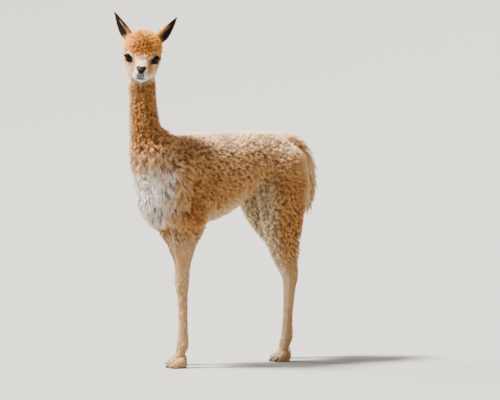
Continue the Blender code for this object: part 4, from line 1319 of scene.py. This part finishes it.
def make_ear(side, name):
    """The ear's thin cup, then fur: dark rims and tip, tan back, long pale hair in the cup."""
    made = to_head(melted(ear(side), EAR_VOXEL, 2))
    at, out, corner = arrays(made)
    line = mirrored(EAR_TIP, side) - mirrored(EAR_ROOT, side)
    opens = mirrored(EAR_OPENS, side).normalized()
    turn = HEAD_PLACE.to_3x3()
    way = np.array((turn @ line).normalized())
    front = np.array((turn @ opens).normalized())
    root = np.array(HEAD_PLACE @ mirrored(EAR_ROOT, side))
    medial = np.cross(way, front)
    medial *= -np.sign(medial @ np.array(turn @ Vector((side, 0, 0))))

    def ear_colour(points, outs):
        share = (points - root) @ way / line.length
        inside = ramp(outs @ front, 0.15, 0.55)
        inward = (points - root - np.outer(share * line.length, way)) @ medial
        reach = 0.30 + 18 * inward if side > 0 else 0.10 + 4 * inward
        tone = mix(CROWN_TAN * 0.62, EAR_DARK, ramp(share, reach - 0.15, reach + 0.20))
        cream = inside * ramp(share, 0.66, 0.50) * ramp(np.abs(inward - 0.0005), 0.0058, 0.0034)
        dark = inside * ramp(share, -0.05, 0.10) * ramp(inward, 0.010, 0.004)
        return mix(mix(tone, EAR_DARK, dark), CREAM * 0.8, cream * (1.0 if side < 0 else 0.35))

    roots, outs = scattered(at, out, corner, np.full(len(at), EAR_SPACING * THINNED))
    count = len(roots)
    lies = laid(np.tile(way, (count, 1)), outs)
    share = (roots - root) @ way / line.length
    size = rng.uniform(0.7, 1.2, count)
    length = np.interp(share, *EAR_LENGTHS) * size
    sizes = [length, np.full(count, EAR_HEIGHT) * size, np.full(count, EAR_WIDTH), length * 0.04,
             rng.uniform(0, 6, count), np.zeros(count), np.zeros((count, 3))]
    colours = ear_colour(roots, outs) * rng.normal(1, 0.10, count)[:, None].clip(0.7, 1.3)
    for piece in tufts(name + "_fur", fleece_look, roots, outs, lies, sizes, colours, 2):
        placed(piece)
    finished(made, name + "_skin", skin_look, ear_colour(at, out) * 0.8, name)


def make_eye(side, name):
    """A dark glossy eyeball with a brown iris and a wide pupil."""
    at = mirrored(EYE_AT, side)
    eye = to_head(ellipsoid(name + "_ball", at, [EYE_R - 0.0002] * 3, rings=40, sides=64))
    points, _, _ = arrays(eye)
    looks = np.array(mirrored(EYE_LOOKS, side).normalized())
    share = np.arccos(np.clip((in_head(points) - np.array(at)) @ looks / EYE_R, -1, 1))
    tone = mix(mix(PUPIL, IRIS, ramp(share, 0.40, 0.55)), EYE_RIM, ramp(share, 0.72, 0.85))
    finished(eye, name + "_ball", wet_look, tone, name)


# Lashes on the upper and the lower lid: how many, how long, and the half width of each.
LASHES, LASH_LENGTHS, LASH_WIDTH = (54, 10), (0.0100, 0.0030), 0.00045


def make_lashes(side, name):
    """A row of dark lashes along the upper lid, and a few short ones below."""
    at = np.array(EYE_AT) * (side, 1, 1)
    axes = np.array(eye_turn(side).to_3x3())
    angles = rng.uniform(0.15, 2.95, LASHES[0]), rng.uniform(3.5, 5.9, LASHES[1])
    angles = np.concatenate(angles)
    x = EYE_OPENING[0] * np.cos(angles)
    y = EYE_OPENING[1] * np.sign(np.sin(angles)) * np.abs(np.sin(angles)) ** 1.2
    z = np.sqrt(np.maximum((EYE_R + LID * 0.7) ** 2 - x**2 - y**2, 0))
    roots = np.stack([x, y, z], 1) @ axes.T
    upper = np.arange(len(angles)) < LASHES[0]
    way = np.stack([x * 55, np.where(upper, 0.6, -1.0), np.ones(len(x))], 1) @ axes.T
    out, way = unit(roots) @ HEAD_TURN.T, way @ HEAD_TURN.T
    roots = (roots + at) @ HEAD_TURN.T + np.array(HEAD_PLACE.translation)
    length = np.where(upper, *LASH_LENGTHS) * rng.uniform(0.6, 1.15, len(x))
    still = np.zeros(len(x))
    sizes = [length, length * 0.72, np.full(len(x), LASH_WIDTH), length * 0.05,
             still, still, np.zeros((len(x), 3))]
    colours = np.tile(LID_DARK, (len(x), 1))
    for piece in tufts(name, lash_look, roots, out, laid(way, out), sizes, colours, 3):
        placed(piece)


def make_nails():
    """Finer nails in the place of the plain ones."""
    for name, side, stations in LEGS:
        for toe, toe_name in ((side, "outer"), (-side, "inner")):
            title = "nail_%s_%s" % (name, toe_name)
            nail = loft(title, toe_rings(NAIL, 5, 0.0002, 20))
            nail.matrix_world = toe_place(stations, toe)
            points, _, _ = arrays(baked(nail))
            tone = mix(HORN_DARK, HORN_PALE, ramp(points[:, 2], 0.006, 0.016))
            finished(nail, title + "_horn", horn_look, tone, title)


for side, side_name in ((1, "left"), (-1, "right")):
    make_ear(side, "ear_" + side_name)
    make_eye(side, "eye_" + side_name)
    make_lashes(side, "lashes_" + side_name)
make_nails()


# The room: how far out and how high the floor's rings lie, which rise like a bowl far off, and
# the points of each ring.
FLOOR = ((0.01, 0), (2, 0), (6, 0), (18, 0), (21, 0.4), (24, 1.6), (26.5, 4), (28, 8))
FLOOR_SIDES = 96
FLOOR_COLOUR, SKY_COLOUR, SKY = (0.30, 0.296, 0.288, 1), (0.80, 0.79, 0.76, 1), 0.16


def make_stage():
    """A wide pale floor in a pale room."""
    look, shader = shader_of("floor", 0.9, 0.2)
    shader.inputs["Base Color"].default_value = FLOOR_COLOUR
    around = np.linspace(0, 2 * math.pi, FLOOR_SIDES, endpoint=False)
    points = [(out * math.cos(a), out * math.sin(a), high) for out, high in FLOOR for a in around]
    faces = [tuple(range(FLOOR_SIDES))]
    for start in range(0, len(points) - FLOOR_SIDES, FLOOR_SIDES):
        for k in range(FLOOR_SIDES):
            a, b = start + k, start + (k + 1) % FLOOR_SIDES
            faces.append((a, a + FLOOR_SIDES, b + FLOOR_SIDES, b))
    floor = mesh_object("floor", points, faces)
    floor.data.shade_smooth()
    floor.data.materials.append(look)
    world = bpy.data.worlds.new("room")
    bpy.context.scene.world = world
    world.use_nodes = True
    sky = world.node_tree.nodes["Background"]
    sky.inputs["Color"].default_value = SKY_COLOUR
    sky.inputs["Strength"].default_value = SKY


# The photo's view: degrees round and above, pixels to a metre, the pixel of the animal's origin,
# and how far off the camera stands.
AZIMUTH, ELEVATION, SCALE, ORIGIN_PIXEL, DISTANCE = 54, 3, 304.0, (217.6, 364.0), 14.0
FRAME_SIZE, SENSOR = (500, 400), 36.0


def camera_axes():
    """The ways from the scene to the camera, to the picture's right, and up in the picture."""
    az, el = math.radians(AZIMUTH), math.radians(ELEVATION)
    back = Vector((math.sin(az) * math.cos(el), -math.cos(az) * math.cos(el), math.sin(el)))
    right = Vector((math.cos(az), math.sin(az), 0))
    return back, right, back.cross(right)


def make_camera():
    back, right, up = camera_axes()
    aside = (FRAME_SIZE[0] / 2 - ORIGIN_PIXEL[0]) / SCALE
    high = (ORIGIN_PIXEL[1] - FRAME_SIZE[1] / 2) / SCALE
    target = right * aside + up * high - Vector(SHIFT)
    camera = bpy.data.cameras.new("camera")
    camera.sensor_width = SENSOR
    camera.lens = SENSOR * DISTANCE * SCALE / FRAME_SIZE[0]
    camera.clip_end = 100
    made = linked("camera", camera)
    turn = back.to_track_quat("Z", "Y").to_matrix().to_4x4()
    made.matrix_world = Matrix.Translation(target + back * DISTANCE) @ turn
    bpy.context.scene.camera = made


def make_light(name, offset, spread, strength, colour):
    """A soft far light that shines from a way given to the right, up and back of the camera."""
    back, right, up = camera_axes()
    light = bpy.data.lights.new(name, "SUN")
    light.angle = math.radians(spread)
    light.energy = strength
    light.color = colour
    away = right * offset[0] + up * offset[1] + back * offset[2]
    linked(name, light).matrix_world = away.to_track_quat("Z", "Y").to_matrix().to_4x4()


make_stage()
make_camera()
make_light("key", (-2.4, 4.1, 0.65), 12, 22.0, (1.0, 0.95, 0.87))
make_light("fill", (1.0, 1.2, 3.0), 50, 0.35, (1.0, 0.95, 0.88))
make_light("rim", (-2.6, 1.5, -1.0), 25, 6.0, (1.0, 0.96, 0.90))
